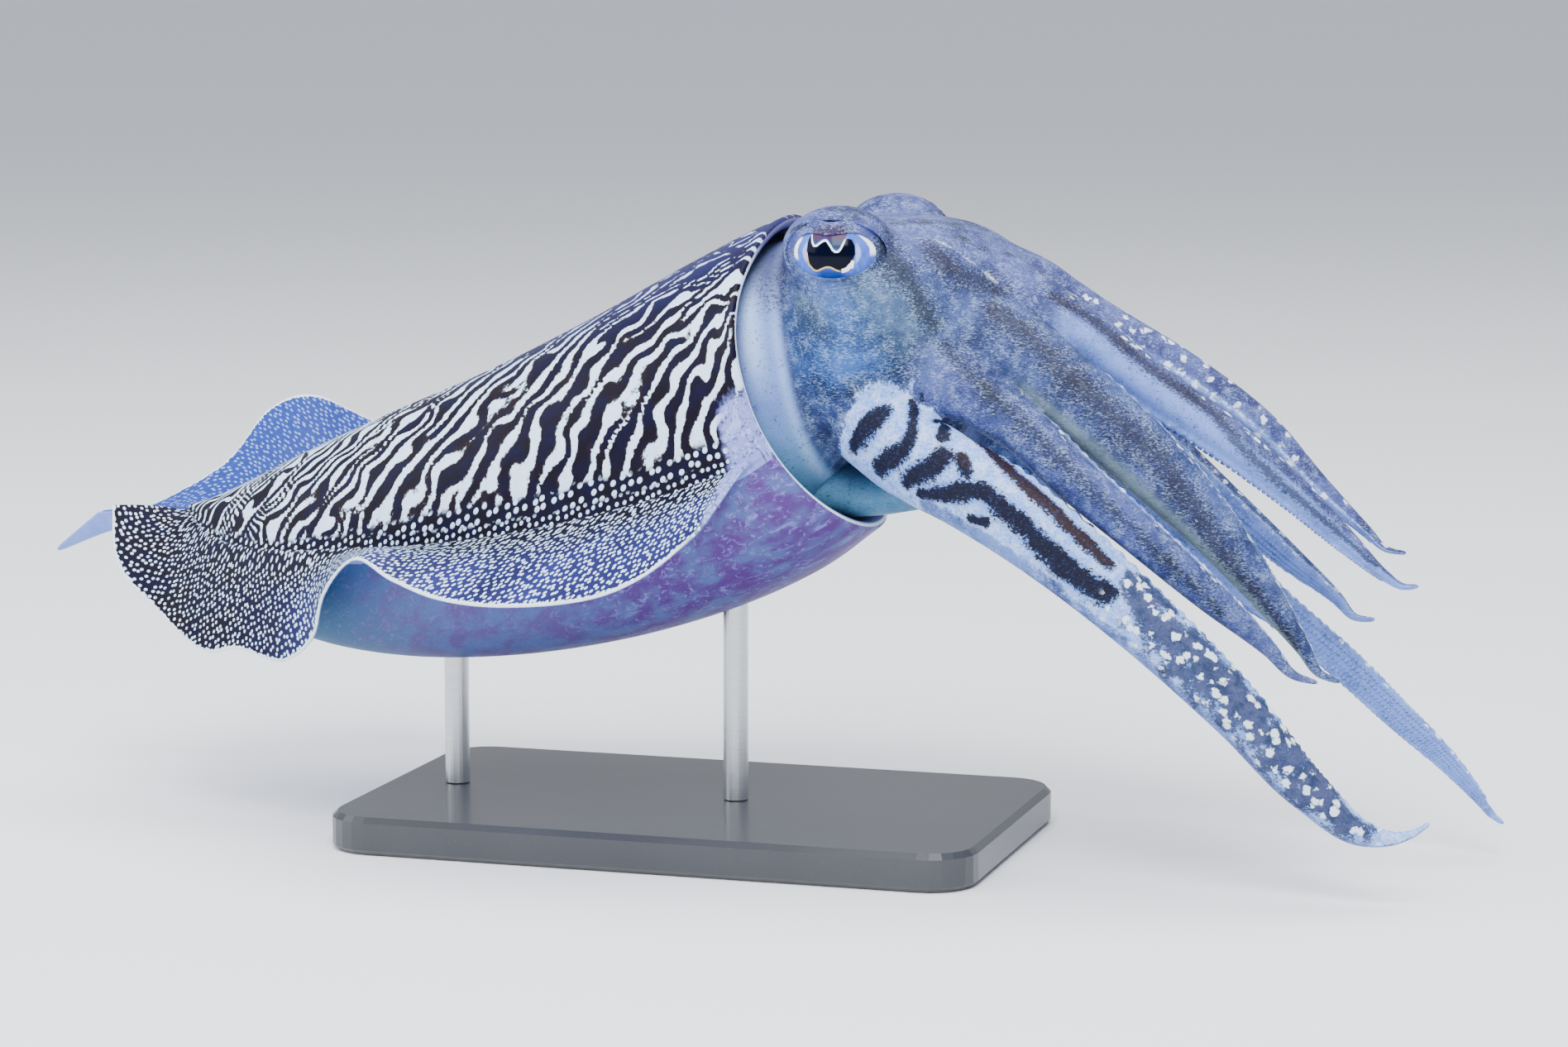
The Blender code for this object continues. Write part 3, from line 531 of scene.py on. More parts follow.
@dataclass
class StripeField:
    """The mantle's stripes: noise sharpened over and over by filters that follow the lie of the stripes.

    Each knot of the lie is (along the body, out from the midline, lean in degrees, stripe spacing).
    The lean is from straight across the body, positive where the outer end lies further forward.
    """

    low: Pair = (-20.0, -130.0)
    high: Pair = (236.0, 130.0)
    step: float = 0.5
    seed: int = 11
    rounds: int = 4
    looseness: Pair = (0.36, 0.34)
    wander: Pair = (1.5, 7.0)
    lie: Knots = (
        (0, 0, -60, 2.9), (15, 25, -66, 3), (30, 10, -60, 3.2), (30, 45, -55, 3.4), (60, 5, -45, 3.6),
        (60, 25, -52, 4), (60, 55, -50, 4.9), (90, 5, -38, 4.4), (90, 25, -46, 5.2), (90, 48, -52, 7.4),
        (90, 70, -35, 6.4), (120, 5, -35, 4.6), (120, 25, -45, 5.8), (120, 48, -46, 9.2),
        (120, 75, -20, 7.4), (150, 5, -45, 4.6), (150, 25, -52, 5.6), (150, 50, -42, 9.4),
        (150, 78, -10, 7.6), (172, 5, -75, 4.2), (170, 22, -76, 4.4), (172, 42, -62, 6.6),
        (172, 62, -40, 8), (172, 80, -4, 7.2), (188, 5, -88, 3.8), (188, 20, 84, 3.6), (188, 34, -88, 3.9),
        (190, 48, -78, 4.8), (190, 62, -52, 6.4), (190, 76, -30, 6.4), (190, 88, 6, 6))

    def axes(self) -> tuple[Array, Array]:
        """The places of the field's rows and columns."""
        return tuple(np.arange(low, high, self.step) for low, high in zip(self.low, self.high))

    def interpolated(self) -> tuple[Array, Array]:
        """The lean, in radians, and the spacing over the field, weighted by nearness to the knots."""
        along, out = self.axes()
        along, out = np.meshgrid(along[::4], out[::4], indexing="ij")
        total = np.zeros_like(along)
        twice = np.zeros(along.shape, dtype=complex)
        spacing = np.zeros_like(along)
        for at, off, lean, gap in self.lie:
            weight = 1 / ((along - at) ** 2 + (np.abs(out) - off) ** 2 + 60) ** 2
            total += weight
            twice += weight * np.exp(2j * np.radians(lean))
            spacing += weight * np.log(gap)
        lean = np.angle(twice) / 2 * np.where(out < 0, -1, 1)
        spacing = np.exp(spacing / total)
        lean, spacing = (np.kron(part, np.ones((4, 4))) for part in (lean, spacing))
        rows, columns = (len(axis) for axis in self.axes())
        return lean[:rows, :columns], spacing[:rows, :columns]

    def grown(self) -> Array:
        """The field, about -1 to 1: in each round oriented band filters, blended by the lie, and a tanh."""
        lean, spacing = self.interpolated()
        rows, columns = lean.shape
        fx = np.fft.fftfreq(rows, self.step)[:, None]
        fy = np.fft.fftfreq(columns, self.step)[None, :]
        leans = np.radians(np.arange(-90, 90, 15))
        gaps = np.exp(np.linspace(np.log(2.8), np.log(10.0), 6))
        apart = np.abs((lean[..., None] - leans + np.pi / 2) % np.pi - np.pi / 2) / np.radians(15)
        turned = np.clip(1 - apart, 0, 1)
        sized = np.clip(1 - np.abs(np.log(spacing[..., None] / gaps)) / np.log(gaps[1] / gaps[0]), 0, 1)
        sized[..., 0] = np.where(spacing < gaps[0], 1, sized[..., 0])
        sized[..., -1] = np.where(spacing > gaps[-1], 1, sized[..., -1])
        filters = []
        for i, angle in enumerate(leans):
            along_stripe = fx * math.sin(angle) + fy * math.cos(angle)
            across = fx * math.cos(angle) - fy * math.sin(angle)
            for j, gap in enumerate(gaps):
                weight = (turned[..., i] * sized[..., j]).astype(np.float32)
                if weight.max() > 0:
                    band = np.exp(-0.5 * ((np.abs(across) - 1 / gap) * gap / self.looseness[0]) ** 2
                                  - 0.5 * (along_stripe * gap / self.looseness[1]) ** 2)
                    filters.append((weight, band.astype(np.float32)))
        random = np.random.default_rng(self.seed)
        values = random.standard_normal((rows, columns))
        for step in range(self.rounds):
            spectrum = np.fft.fft2(values)
            values = sum(weight * np.fft.ifft2(spectrum * band).real for weight, band in filters)
            values /= values.std()
            if step < self.rounds - 1:
                values = np.tanh(1.6 * values)
        reach, size = self.wander
        blur = np.exp(-0.5 * (np.hypot(fx, fy) * size * 2.2) ** 2)
        drift = []
        for _ in range(3):
            part = np.fft.ifft2(np.fft.fft2(random.standard_normal((rows, columns))) * blur).real
            drift.append(reach * part / part.std())
        along, out = np.meshgrid(*self.axes(), indexing="ij")
        return 0.7 * self.read(values, along + drift[0], out + drift[1]) + 0.12 * drift[2] / reach

    def read(self, values: Array, along: Array, out: Array) -> Array:
        """The field at places, by straight lines between its points."""
        row = np.clip((along - self.low[0]) / self.step, 0, values.shape[0] - 1.001)
        column = np.clip((out - self.low[1]) / self.step, 0, values.shape[1] - 1.001)
        i, j = row.astype(int), column.astype(int)
        s, t = row - i, column - j
        return ((1 - s) * ((1 - t) * values[i, j] + t * values[i, j + 1])
                + s * ((1 - t) * values[i + 1, j] + t * values[i + 1, j + 1]))


@dataclass
class MantleSkin:
    """The skin of the mantle and both fins, one closed grid of rows along and columns round the body."""

    shape: BodyShape
    rows: int = 236
    upper: int = 78
    lower: int = 38
    lanes: int = 30
    fillet: float = 5.0
    band: float = 2.0
    rim: Pairs = (
        (0.35, 0.65), (1, 1), (1.9, 1.05), (2.7, 0.6), (3.2, -0.6), (3.5, -3), (3.8, -8), (4.5, -19))

    def __post_init__(self) -> None:
        """Set the stations of the rows so that the fastest line moves evenly."""
        fine = np.linspace(0, self.shape.last, 1801)
        top = through(self.shape.knots, fine)[:, :2]
        speeds = [np.linalg.norm(np.gradient(top, axis=0), axis=1)]
        for side in Side:
            edge = through(FIN_EDGES[side], fine)
            speeds.append(0.92 * np.linalg.norm(np.gradient(edge, axis=0), axis=1))
        length = np.cumsum(np.max(speeds, axis=0))
        self.stations = np.interp(np.linspace(length[0], length[-1], self.rows), length, fine)
        line = through(self.shape.knots, self.stations)[:, :2]
        self.along = running_length(line)

    def arc(self, low: Array, high: Array, count: int) -> tuple[Array, Array]:
        """Angles between two angles in each row, spaced evenly by length, and their lengths from the top."""
        fine = np.linspace(0, 180, 361)
        length = running_length(self.shape.surface(self.stations, fine), axis=1)
        first, last = (np.array([np.interp(angle, fine, row) for angle, row in zip(angles, length)])
                       for angles in (low, high))
        wanted = first[:, None] + (last - first)[:, None] * np.linspace(0, 1, count)
        degrees = np.array([np.interp(line, row, fine) for line, row in zip(wanted, length)])
        return degrees, wanted

    def fin_faces(self, fin: FinShape, angle: Array, band: Array) -> tuple[Array, ...]:
        """Upper and lower faces of a fin, its edge line and its width at each row.

        A lane runs from the root straight to the edge, bowed by a sine, thickest at the root. Past the
        front of the fin the lanes sink into the body between the two arcs.
        """
        sign = -fin.side.value
        lanes = np.linspace(0, 1, self.lanes + 1)[None, :]
        root = self.shape.surface(self.stations, sign * angle[:, None])[:, 0]
        rim = through(fin.edge, self.stations)
        reach = 1 - ease(self.stations, fin.front - 0.45, fin.front + 0.3)
        rim = root + (rim - root) * np.maximum(reach, 0.02)[:, None]
        out = unit(rim - root)
        ahead = unit(np.gradient(rim + root, self.stations, axis=0))
        normal = unit(np.cross(ahead, out) * fin.side.value)
        width = np.linalg.norm(rim - root, axis=1)
        lift = np.sin(np.pi * lanes)[..., None] * (fin.bow * width)[:, None, None]
        middle = root[:, None] + lanes[..., None] * (rim - root)[:, None] + lift * normal[:, None]
        thick = fin.root_thickness + (fin.edge_thickness - fin.root_thickness) * lanes ** 0.55
        half = 0.5 * (thick * np.maximum(reach, 0.25)[:, None])[..., None] * normal[:, None]
        join = ease(lanes * width[:, None], 0, self.fillet)[..., None] * ease(reach, 0.0, 0.5)[:, None, None]
        faces = []
        for way in (-1, 1):
            turned = angle[:, None] + way * band[:, None] * (1 - lanes)
            base = self.shape.surface(self.stations, sign * turned)
            free = self.shape.pushed_clear(middle - way * half, 0.35)
            faces.append(base + join * (free - base))
        edge = rim + 0.3 * fin.edge_thickness * reach[:, None] * out
        return faces[0], faces[1], edge, width, running_length(0.45 * root + 0.55 * rim)

    def build(self, stripes: StripeField) -> Piece:
        """Make the mesh and store its stripes, fin distances and underside."""
        fins = {side: FinShape(side, FIN_EDGES[side]) for side in Side}
        angle = through(fins[Side.RIGHT].root, self.stations)[:, 0]
        half_rings = self.shape.surface(self.stations, np.linspace(0, 180, 91))
        band = np.minimum(self.band / running_length(half_rings, axis=1)[:, -1] * 180, 24)
        top_degrees, top_out = self.arc(0 * angle, angle - band, self.upper)
        low_degrees, low_out = self.arc(angle + band, 0 * angle + 180, self.lower)
        sheets = {side: self.fin_faces(fins[side], angle, band) for side in Side}
        columns = []
        lanes = np.linspace(0, 1, self.lanes + 1)[None, :]
        for side, sign, order in ((Side.RIGHT, 1, slice(None)), (Side.LEFT, -1, slice(None, None, -1))):
            over, under, edge, width, _ = sheets[side]
            reach, width, root = width[:, None] * lanes, width[:, None], top_out[:, -1:]
            turn = angle[:, None]
            stretch = [
                (self.shape.surface(self.stations, sign * top_degrees), top_degrees, top_out, 0.0, 0.0, 0.0),
                (over[:, 1:], turn, root + reach[:, 1:], reach[:, 1:], width, 0.0),
                (edge[:, None], turn, root + width, width, width, 0.5),
                (under[:, :0:-1], turn, root + reach[:, :0:-1], reach[:, :0:-1], width, 1.0),
                (self.shape.surface(self.stations, sign * low_degrees), low_degrees, low_out, 0.0, 0.0, 1.0)]
            for points, degrees, out, fin, wide, below in stretch[order]:
                parts = [np.broadcast_to(part, points.shape[:2])[..., None]
                         for part in (sign * degrees, sign * out, fin, wide, below)]
                columns.append(np.concatenate([points, *parts], axis=-1)[:, order])
        seam = self.upper + 2 * self.lanes + 1 + self.lower
        grid = np.delete(np.concatenate(columns, axis=1), [seam, -1], axis=1)
        rim = np.array([self.shape.rim_ring(grid[-1, :, 3], inset, ahead) for inset, ahead in self.rim])
        rim = np.concatenate([rim, np.repeat(grid[-1:, :, 3:], len(rim), axis=0)], axis=-1)
        past = np.concatenate([np.zeros(len(grid)), running_length(rim[:, :1, :3])[:, 0] + 0.5])
        points, _, out, fin, width, under = np.split(np.concatenate([grid, rim]), (3, 4, 5, 6, 7), axis=-1)
        along = np.concatenate([self.along, self.along[-1] + past[len(grid):]])[:, None] + 0 * out[..., 0]
        nodes = ["mantle", "fin_right", "fin_left"]
        piece = make_piece("mantle_skin", *self.closed(points), nodes, "mantle_skin")
        pole = np.zeros(2)
        flat = [np.append(part.ravel(), pole) for part in (along, out, fin, width, under)]
        flat_past = np.concatenate([np.repeat(past, points.shape[1]), pole])
        values = stripes.read(stripes.grown(), flat[0], flat[1])
        set_map(piece, np.column_stack([flat[0], flat[1]]))
        on_fin = flat[2] > 0
        edge_gap = np.where(on_fin, flat[3] - flat[2], 40.0)
        front = len(rim) * points.shape[1] + 2
        root = np.append(np.repeat(top_out[:, -1], points.shape[1]), np.full(front, top_out[-1, -1]))
        fin_along = np.where(grid[..., 4] < 0, sheets[Side.LEFT][4][:, None], sheets[Side.RIGHT][4][:, None])
        fin_along = np.append(fin_along, np.full(front, fin_along[-1, 0]))
        faint = (flat[1] < 0) * ease(flat[2], 1, 5) * ease(flat[0], 92, 70)
        set_values(piece, stripe=values, fin=flat[2], edge=edge_gap, under=flat[4], past=flat_past,
                   above_root=root - np.abs(flat[1]), along=flat[0], fin_along=fin_along, faint=faint)
        dress(piece, StripedSkin().make())
        return piece

    def closed(self, points: Array) -> Form:
        """The grid's points and faces, its tail closed by a middle point and by joining each fin's faces."""
        rows, columns = points.shape[:2]
        tail, front = points[0, [0, columns // 2]].mean(axis=0) - (1.6, 0, 0), points[-1].mean(axis=0)
        faces, seams, body = grid_faces(rows, columns).tolist(), [], np.ones(columns, dtype=bool)
        lane = np.arange(self.lanes + 1)
        for first in (self.upper - 1, columns - self.upper - 2 * self.lanes):
            upper, lower = first + lane, first + 2 * self.lanes + 2 - lane
            body[first:lower[0]] = False
            flap = np.stack([upper[1:], upper[:-1], lower[:-1], lower[1:]], -1).tolist()
            seams += [[first, rows * columns, flap[0][2]], [flap[-1][0], flap[-1][3], flap[-1][0] + 1]]
            faces += flap
        tail_cap = fan(0, columns, rows * columns)[body][:, [1, 0, 2]]
        front_cap = fan((rows - 1) * columns, columns, rows * columns + 1)
        closed = np.concatenate([points.reshape(-1, 3), [tail, front]])
        return closed, faces + front_cap.tolist() + tail_cap.tolist() + seams


@dataclass
class HeadShape:
    """The head's form: ovals between a top and a bottom line, swollen round the eyes."""

    knots: Knots = (
        (0, 190, 86.5, 203, 23, 35), (1, 200, 90, 211, 27, 38), (2, 212, 91.5, 219, 28.5, 39),
        (3, 225, 92, 225, 28.5, 37), (4, 239, 90, 230, 27, 34), (5, 251, 83.5, 234, 25, 30),
        (6, 260, 73, 238, 24, 26))
    head_fullness: float = 0.76
    neck_fullness: float = 0.92
    full_station: float = 1.6
    swelling: float = 6.0
    reach: float = 15.0
    middle: Triple = (211.0, -37.0, 82.0)
    origin: Triple = (211.0, -12.0, 68.0)

    def ring(self, station: float, degrees: Array, forward: float = 0.0) -> Array:
        """One plain oval at a station, moved along its own forward direction."""
        top_x, top_z, low_x, low_z, half = through(self.knots, [station])[0]
        lift, side = oval(degrees, self.neck_fullness)
        up = unit([top_x - low_x, 0, top_z - low_z])
        x = (top_x + low_x) / 2 + lift * (top_x - low_x) / 2 + forward * up[2]
        z = (top_z + low_z) / 2 + lift * (top_z - low_z) / 2 - forward * up[0]
        return np.stack([x, -side * half, z], axis=-1)

    def surface(self, stations: Array, degrees: Array) -> Array:
        """Points of the head: the ovals grow squarer forwards, then each side is pushed out in a bell."""
        stations = np.asarray(stations, dtype=float)[:, None]
        growth = np.clip(stations / self.full_station, 0, 1)
        fullness = self.neck_fullness + (self.head_fullness - self.neck_fullness) * growth
        top_x, top_z, low_x, low_z, half = through(self.knots, stations[:, 0]).T[:, :, None]
        lift, side = oval(degrees, fullness)
        points = np.stack([(top_x + low_x) / 2 + lift * (top_x - low_x) / 2, -side * half,
                           (top_z + low_z) / 2 + lift * (top_z - low_z) / 2], axis=-1)
        swollen = points.copy()
        for sign in (1, -1):
            mirror = np.array([1, sign, 1])
            far = np.linalg.norm(points - mirror * self.middle, axis=-1, keepdims=True) / self.reach
            swollen += (self.swelling * growth[..., None] * np.exp(-0.5 * far ** 2)
                        * unit(points - mirror * self.origin))
        return swollen


@dataclass
class ArmLine:
    """One arm's path with its half width and half depth, its back and where it leaves the crown."""

    name: str
    path: Knots
    back: Triple
    cut: float
    fullness: float = 0.85
    flattening: float = 0.82
    tip: float = 1.4

    def __post_init__(self) -> None:
        """Measure the path along its chords."""
        table = np.array(self.path, dtype=float)
        chord = running_length(table[:, :3])
        self.knots = np.column_stack([chord, table])
        self.length = float(chord[-1])

    def frame(self, distances: Array) -> tuple[Array, ...]:
        """Middles, half sizes and the along, back and side directions at distances."""
        values = through(self.knots, distances)
        ahead = through(self.knots, np.asarray(distances) + 0.5)[:, :3]
        behind = through(self.knots, np.asarray(distances) - 0.5)[:, :3]
        along = unit(ahead - behind)
        back = unit(self.back)
        back = unit(back - (along @ back)[:, None] * along)
        return values[:, :3], values[:, 3:], along, back, np.cross(along, back)

    def surface(self, distances: Array, degrees: Array, offset: Array | float = 0.0) -> Array:
        """Points at (distance, angle) pairs: an oval round the path, flatter on the sucker side.

        Args:
            distances: along the path.
            degrees: angles from the back towards the side direction, of the same shape.
            offset: how far the points stand off from the oval.

        Returns:
            Points of the same shape by xyz.
        """
        distances, degrees = np.broadcast_arrays(distances, degrees)
        middle, half, _, back, side = self.frame(distances.ravel())
        offset = np.broadcast_to(offset, distances.shape).ravel()
        lift, across = oval(degrees.ravel(), self.fullness)
        lift = np.where(lift < 0, lift * self.flattening, lift) * (half[:, 1] + offset)
        across = across * (half[:, 0] + offset)
        points = middle + lift[:, None] * back + across[:, None] * side
        return points.reshape(*distances.shape, 3)

    def girth(self, distances: Array) -> Array:
        """Length round the arm at distances, measured on rings and read between them."""
        samples = np.arange(0, self.length + 2, 2.0)
        rings = self.surface(samples[:, None], np.arange(0, 361, 6.0)[None])
        return np.interp(distances, samples, running_length(rings, axis=1)[:, -1])

    def place_of(self, points: Array) -> tuple[Array, Array, Array]:
        """Distance along, angle and how many times the oval's radius away, for points near the arm."""
        samples = np.arange(0, self.length, 0.8)
        middle, _, along, _, _ = self.frame(samples)
        nearest = np.concatenate([
            ((part[:, None] - middle) ** 2).sum(axis=-1).argmin(axis=1)
            for part in np.array_split(points, max(1, len(points) // 4000))])
        distance = samples[nearest] + np.einsum("pk,pk->p", points - middle[nearest], along[nearest])
        distance = np.clip(distance, 0, self.length)
        middle, half, _, back, side = self.frame(distance)
        away = points - middle
        lift = np.einsum("pk,pk->p", away, back) / half[:, 1]
        lift = np.where(lift < 0, lift / self.flattening, lift)
        across = np.einsum("pk,pk->p", away, side) / half[:, 0]
        power = 1 / self.fullness
        degrees = np.degrees(np.arctan2(full(across, power), full(lift, power)))
        radius = (np.abs(lift) ** (2 * power) + np.abs(across) ** (2 * power)) ** (0.5 / power)
        return distance, degrees, radius


ARMS = {arm.name: arm for arm in (
    ArmLine("r1", [
        (228, -10, 80, 8, 6), (251, -10.5, 74.5, 9, 7.5), (273, -11, 61.5, 8.4, 7),
        (293, -12, 47.5, 7.4, 6.5), (314, -14, 34.6, 6.5, 5.5), (332.3, -14, 21, 5, 4.5),
        (348.1, -12, 6.8, 3.2, 3), (358, -10.3, -1.9, 1.6, 1.5), (362.5, -9.2, -4.7, 1.0, 0.95),
        (367, -8.8, -4.6, 0.6, 0.6)], (0.45, -0.35, 0.8), 50),
    ArmLine("r2", [
        (226, -19, 70, 9, 7), (251, -22, 62, 10, 8), (274.5, -25.5, 46.3, 10.4, 6.8),
        (297, -25.5, 27.5, 9.4, 6.2), (315, -25, 9.5, 7, 5), (328.5, -23, -7.5, 4.4, 3.6),
        (338, -20, -21.5, 2.1, 1.9), (342, -18.8, -28, 1.2, 1.1), (347.5, -17.8, -30.4, 0.6, 0.6)],
        (0, -0.98, 0.2), 46),
    ArmLine("r3", [
        (222, -22, 57, 8, 7), (240, -30, 50, 8.5, 7), (262.4, -34, 37.8, 7, 5.5), (277, -37, 25.8, 6.5, 5),
        (296, -37.5, 10.5, 5.6, 4.6), (315, -34, -6, 4.4, 4), (330, -27, -21, 2.1, 1.9),
        (336, -24, -28, 1.2, 1.1), (342, -21.6, -30.2, 0.6, 0.6)], (-0.1, -0.98, -0.05), 42),
    ArmLine("r4", [
        (213, -26, 38, 10, 8), (231, -33, 29.5, 13, 8.5), (247, -39, 23, 12.5, 7.8),
        (267, -43, 12, 11.6, 7), (295.5, -44, -9.5, 9.4, 6.6), (324.6, -43, -35.8, 7.6, 5.6),
        (343.7, -40, -56.8, 5.6, 4.6), (358.2, -38, -67.6, 3.4, 2.8), (365, -37, -68.6, 1.9, 1.7),
        (370, -36.4, -67.4, 1.1, 1.0), (375.2, -35.8, -64, 0.55, 0.55)], (-0.15, -0.95, -0.25), 36),
    ArmLine("l1", [
        (230, 9, 82, 8, 6), (252, 9, 74.5, 9, 7.5), (274, 9, 62, 8.5, 7), (299, 10, 48.5, 6.8, 6),
        (320, 11, 34, 5.4, 5), (334.8, 11, 19.6, 3.8, 3.6), (350, 9.2, 7, 1.7, 1.6),
        (355, 8.4, 2.8, 1.0, 1.0), (361, 8, 1.8, 0.6, 0.6)], (0.45, 0.35, 0.8), 48),
    ArmLine("l2", [
        (227, 19, 70, 9, 7), (250, 22, 59, 9.5, 7.5), (270, 25, 41, 8.5, 7), (289, 27, 26, 6.5, 5.5),
        (306.4, 26.5, 12, 5, 4.5), (325.6, 25, -3.4, 3.6, 3.2), (340, 22, -14, 1.7, 1.6),
        (345, 20.8, -18.6, 1.0, 1.0), (350.8, 19.8, -18.9, 0.6, 0.6)], (0.1, 0.9, 0.45), 46),
    ArmLine("l3", [
        (222, 22, 57, 8, 7), (238, 31, 48.5, 8.5, 7), (256, 41.5, 32, 7.5, 6), (274, 47.5, 13.5, 6.5, 5.5),
        (292, 49, -4, 5.5, 4.8), (308, 48, -17.5, 3.6, 3.2), (321, 44, -27, 0.9, 0.8)], (-0.1, 0.98, -0.05),
        44),
    ArmLine("l4", [
        (214, 25, 38, 10, 8), (233, 27.5, 29, 12, 8), (258, 27, 20, 9.6, 6.8), (286.4, 29, 8, 7.6, 6),
        (305.7, 31, -6, 6, 5.4), (324.3, 31, -21, 5.2, 5), (341.3, 32, -34.8, 4.8, 4.4),
        (355.7, 33, -48, 4.2, 3.8), (370.6, 34, -61.5, 3, 2.7), (379.5, 32.9, -70.8, 1.7, 1.6),
        (383, 32.2, -75, 1.0, 0.9), (386.4, 31.7, -77.2, 0.6, 0.55)], (-0.15, 0.95, -0.25), 36),
)}


def arm_places(points: Array) -> tuple[Array, Array, Array, Array]:
    """The arm that each point belongs to, with its distance along, angle and radius ratio there."""
    number = np.zeros(len(points), dtype=int)
    best = np.full((3, len(points)), 1e9)
    for k, arm in enumerate(ARMS.values()):
        places = np.array(arm.place_of(points))
        nearer = places[2] < best[2]
        number = np.where(nearer, k, number)
        best = np.where(nearer, places, best)
    return number, *best


@dataclass
class EyeShape:
    """One eye: its ball, and the opening between its lids."""

    centre: Triple = (209.5, 29.5, 84.0)
    radii: Triple = (13.5, 12.8, 11.4)
    dome: Triple = (16.0, 14.3, 13.0)
    opening: Pair = (11.4, 6.7)
    opening_middle: Pair = (0.6, 0.5)
    brow_dip: float = 1.7
    brow_width: float = 3.6

    def middle(self, side: Side) -> Array:
        """The ball's middle on one side."""
        return np.array([1, side.value, 1]) * self.centre

    def bulge(self, ahead: Array, up: Array) -> Array:
        """How far the ball stands out at places on its face, from the formula of an ellipsoid."""
        inside = 1 - (ahead / self.radii[0]) ** 2 - (up / self.radii[2]) ** 2
        return self.radii[1] * np.sqrt(np.maximum(inside, 0.0))

    def edge(self, degrees: Array) -> tuple[Array, Array]:
        """The lids' edge: an oval whose top dips in the middle as a soft brow."""
        ahead = self.opening[0] * np.cos(np.radians(degrees))
        up = self.opening[1] * full(np.sin(np.radians(degrees)), 0.9)
        up = up - self.brow_dip * bell(ahead, -0.4, self.brow_width) * (up > 0)
        return ahead + self.opening_middle[0], up + self.opening_middle[1]


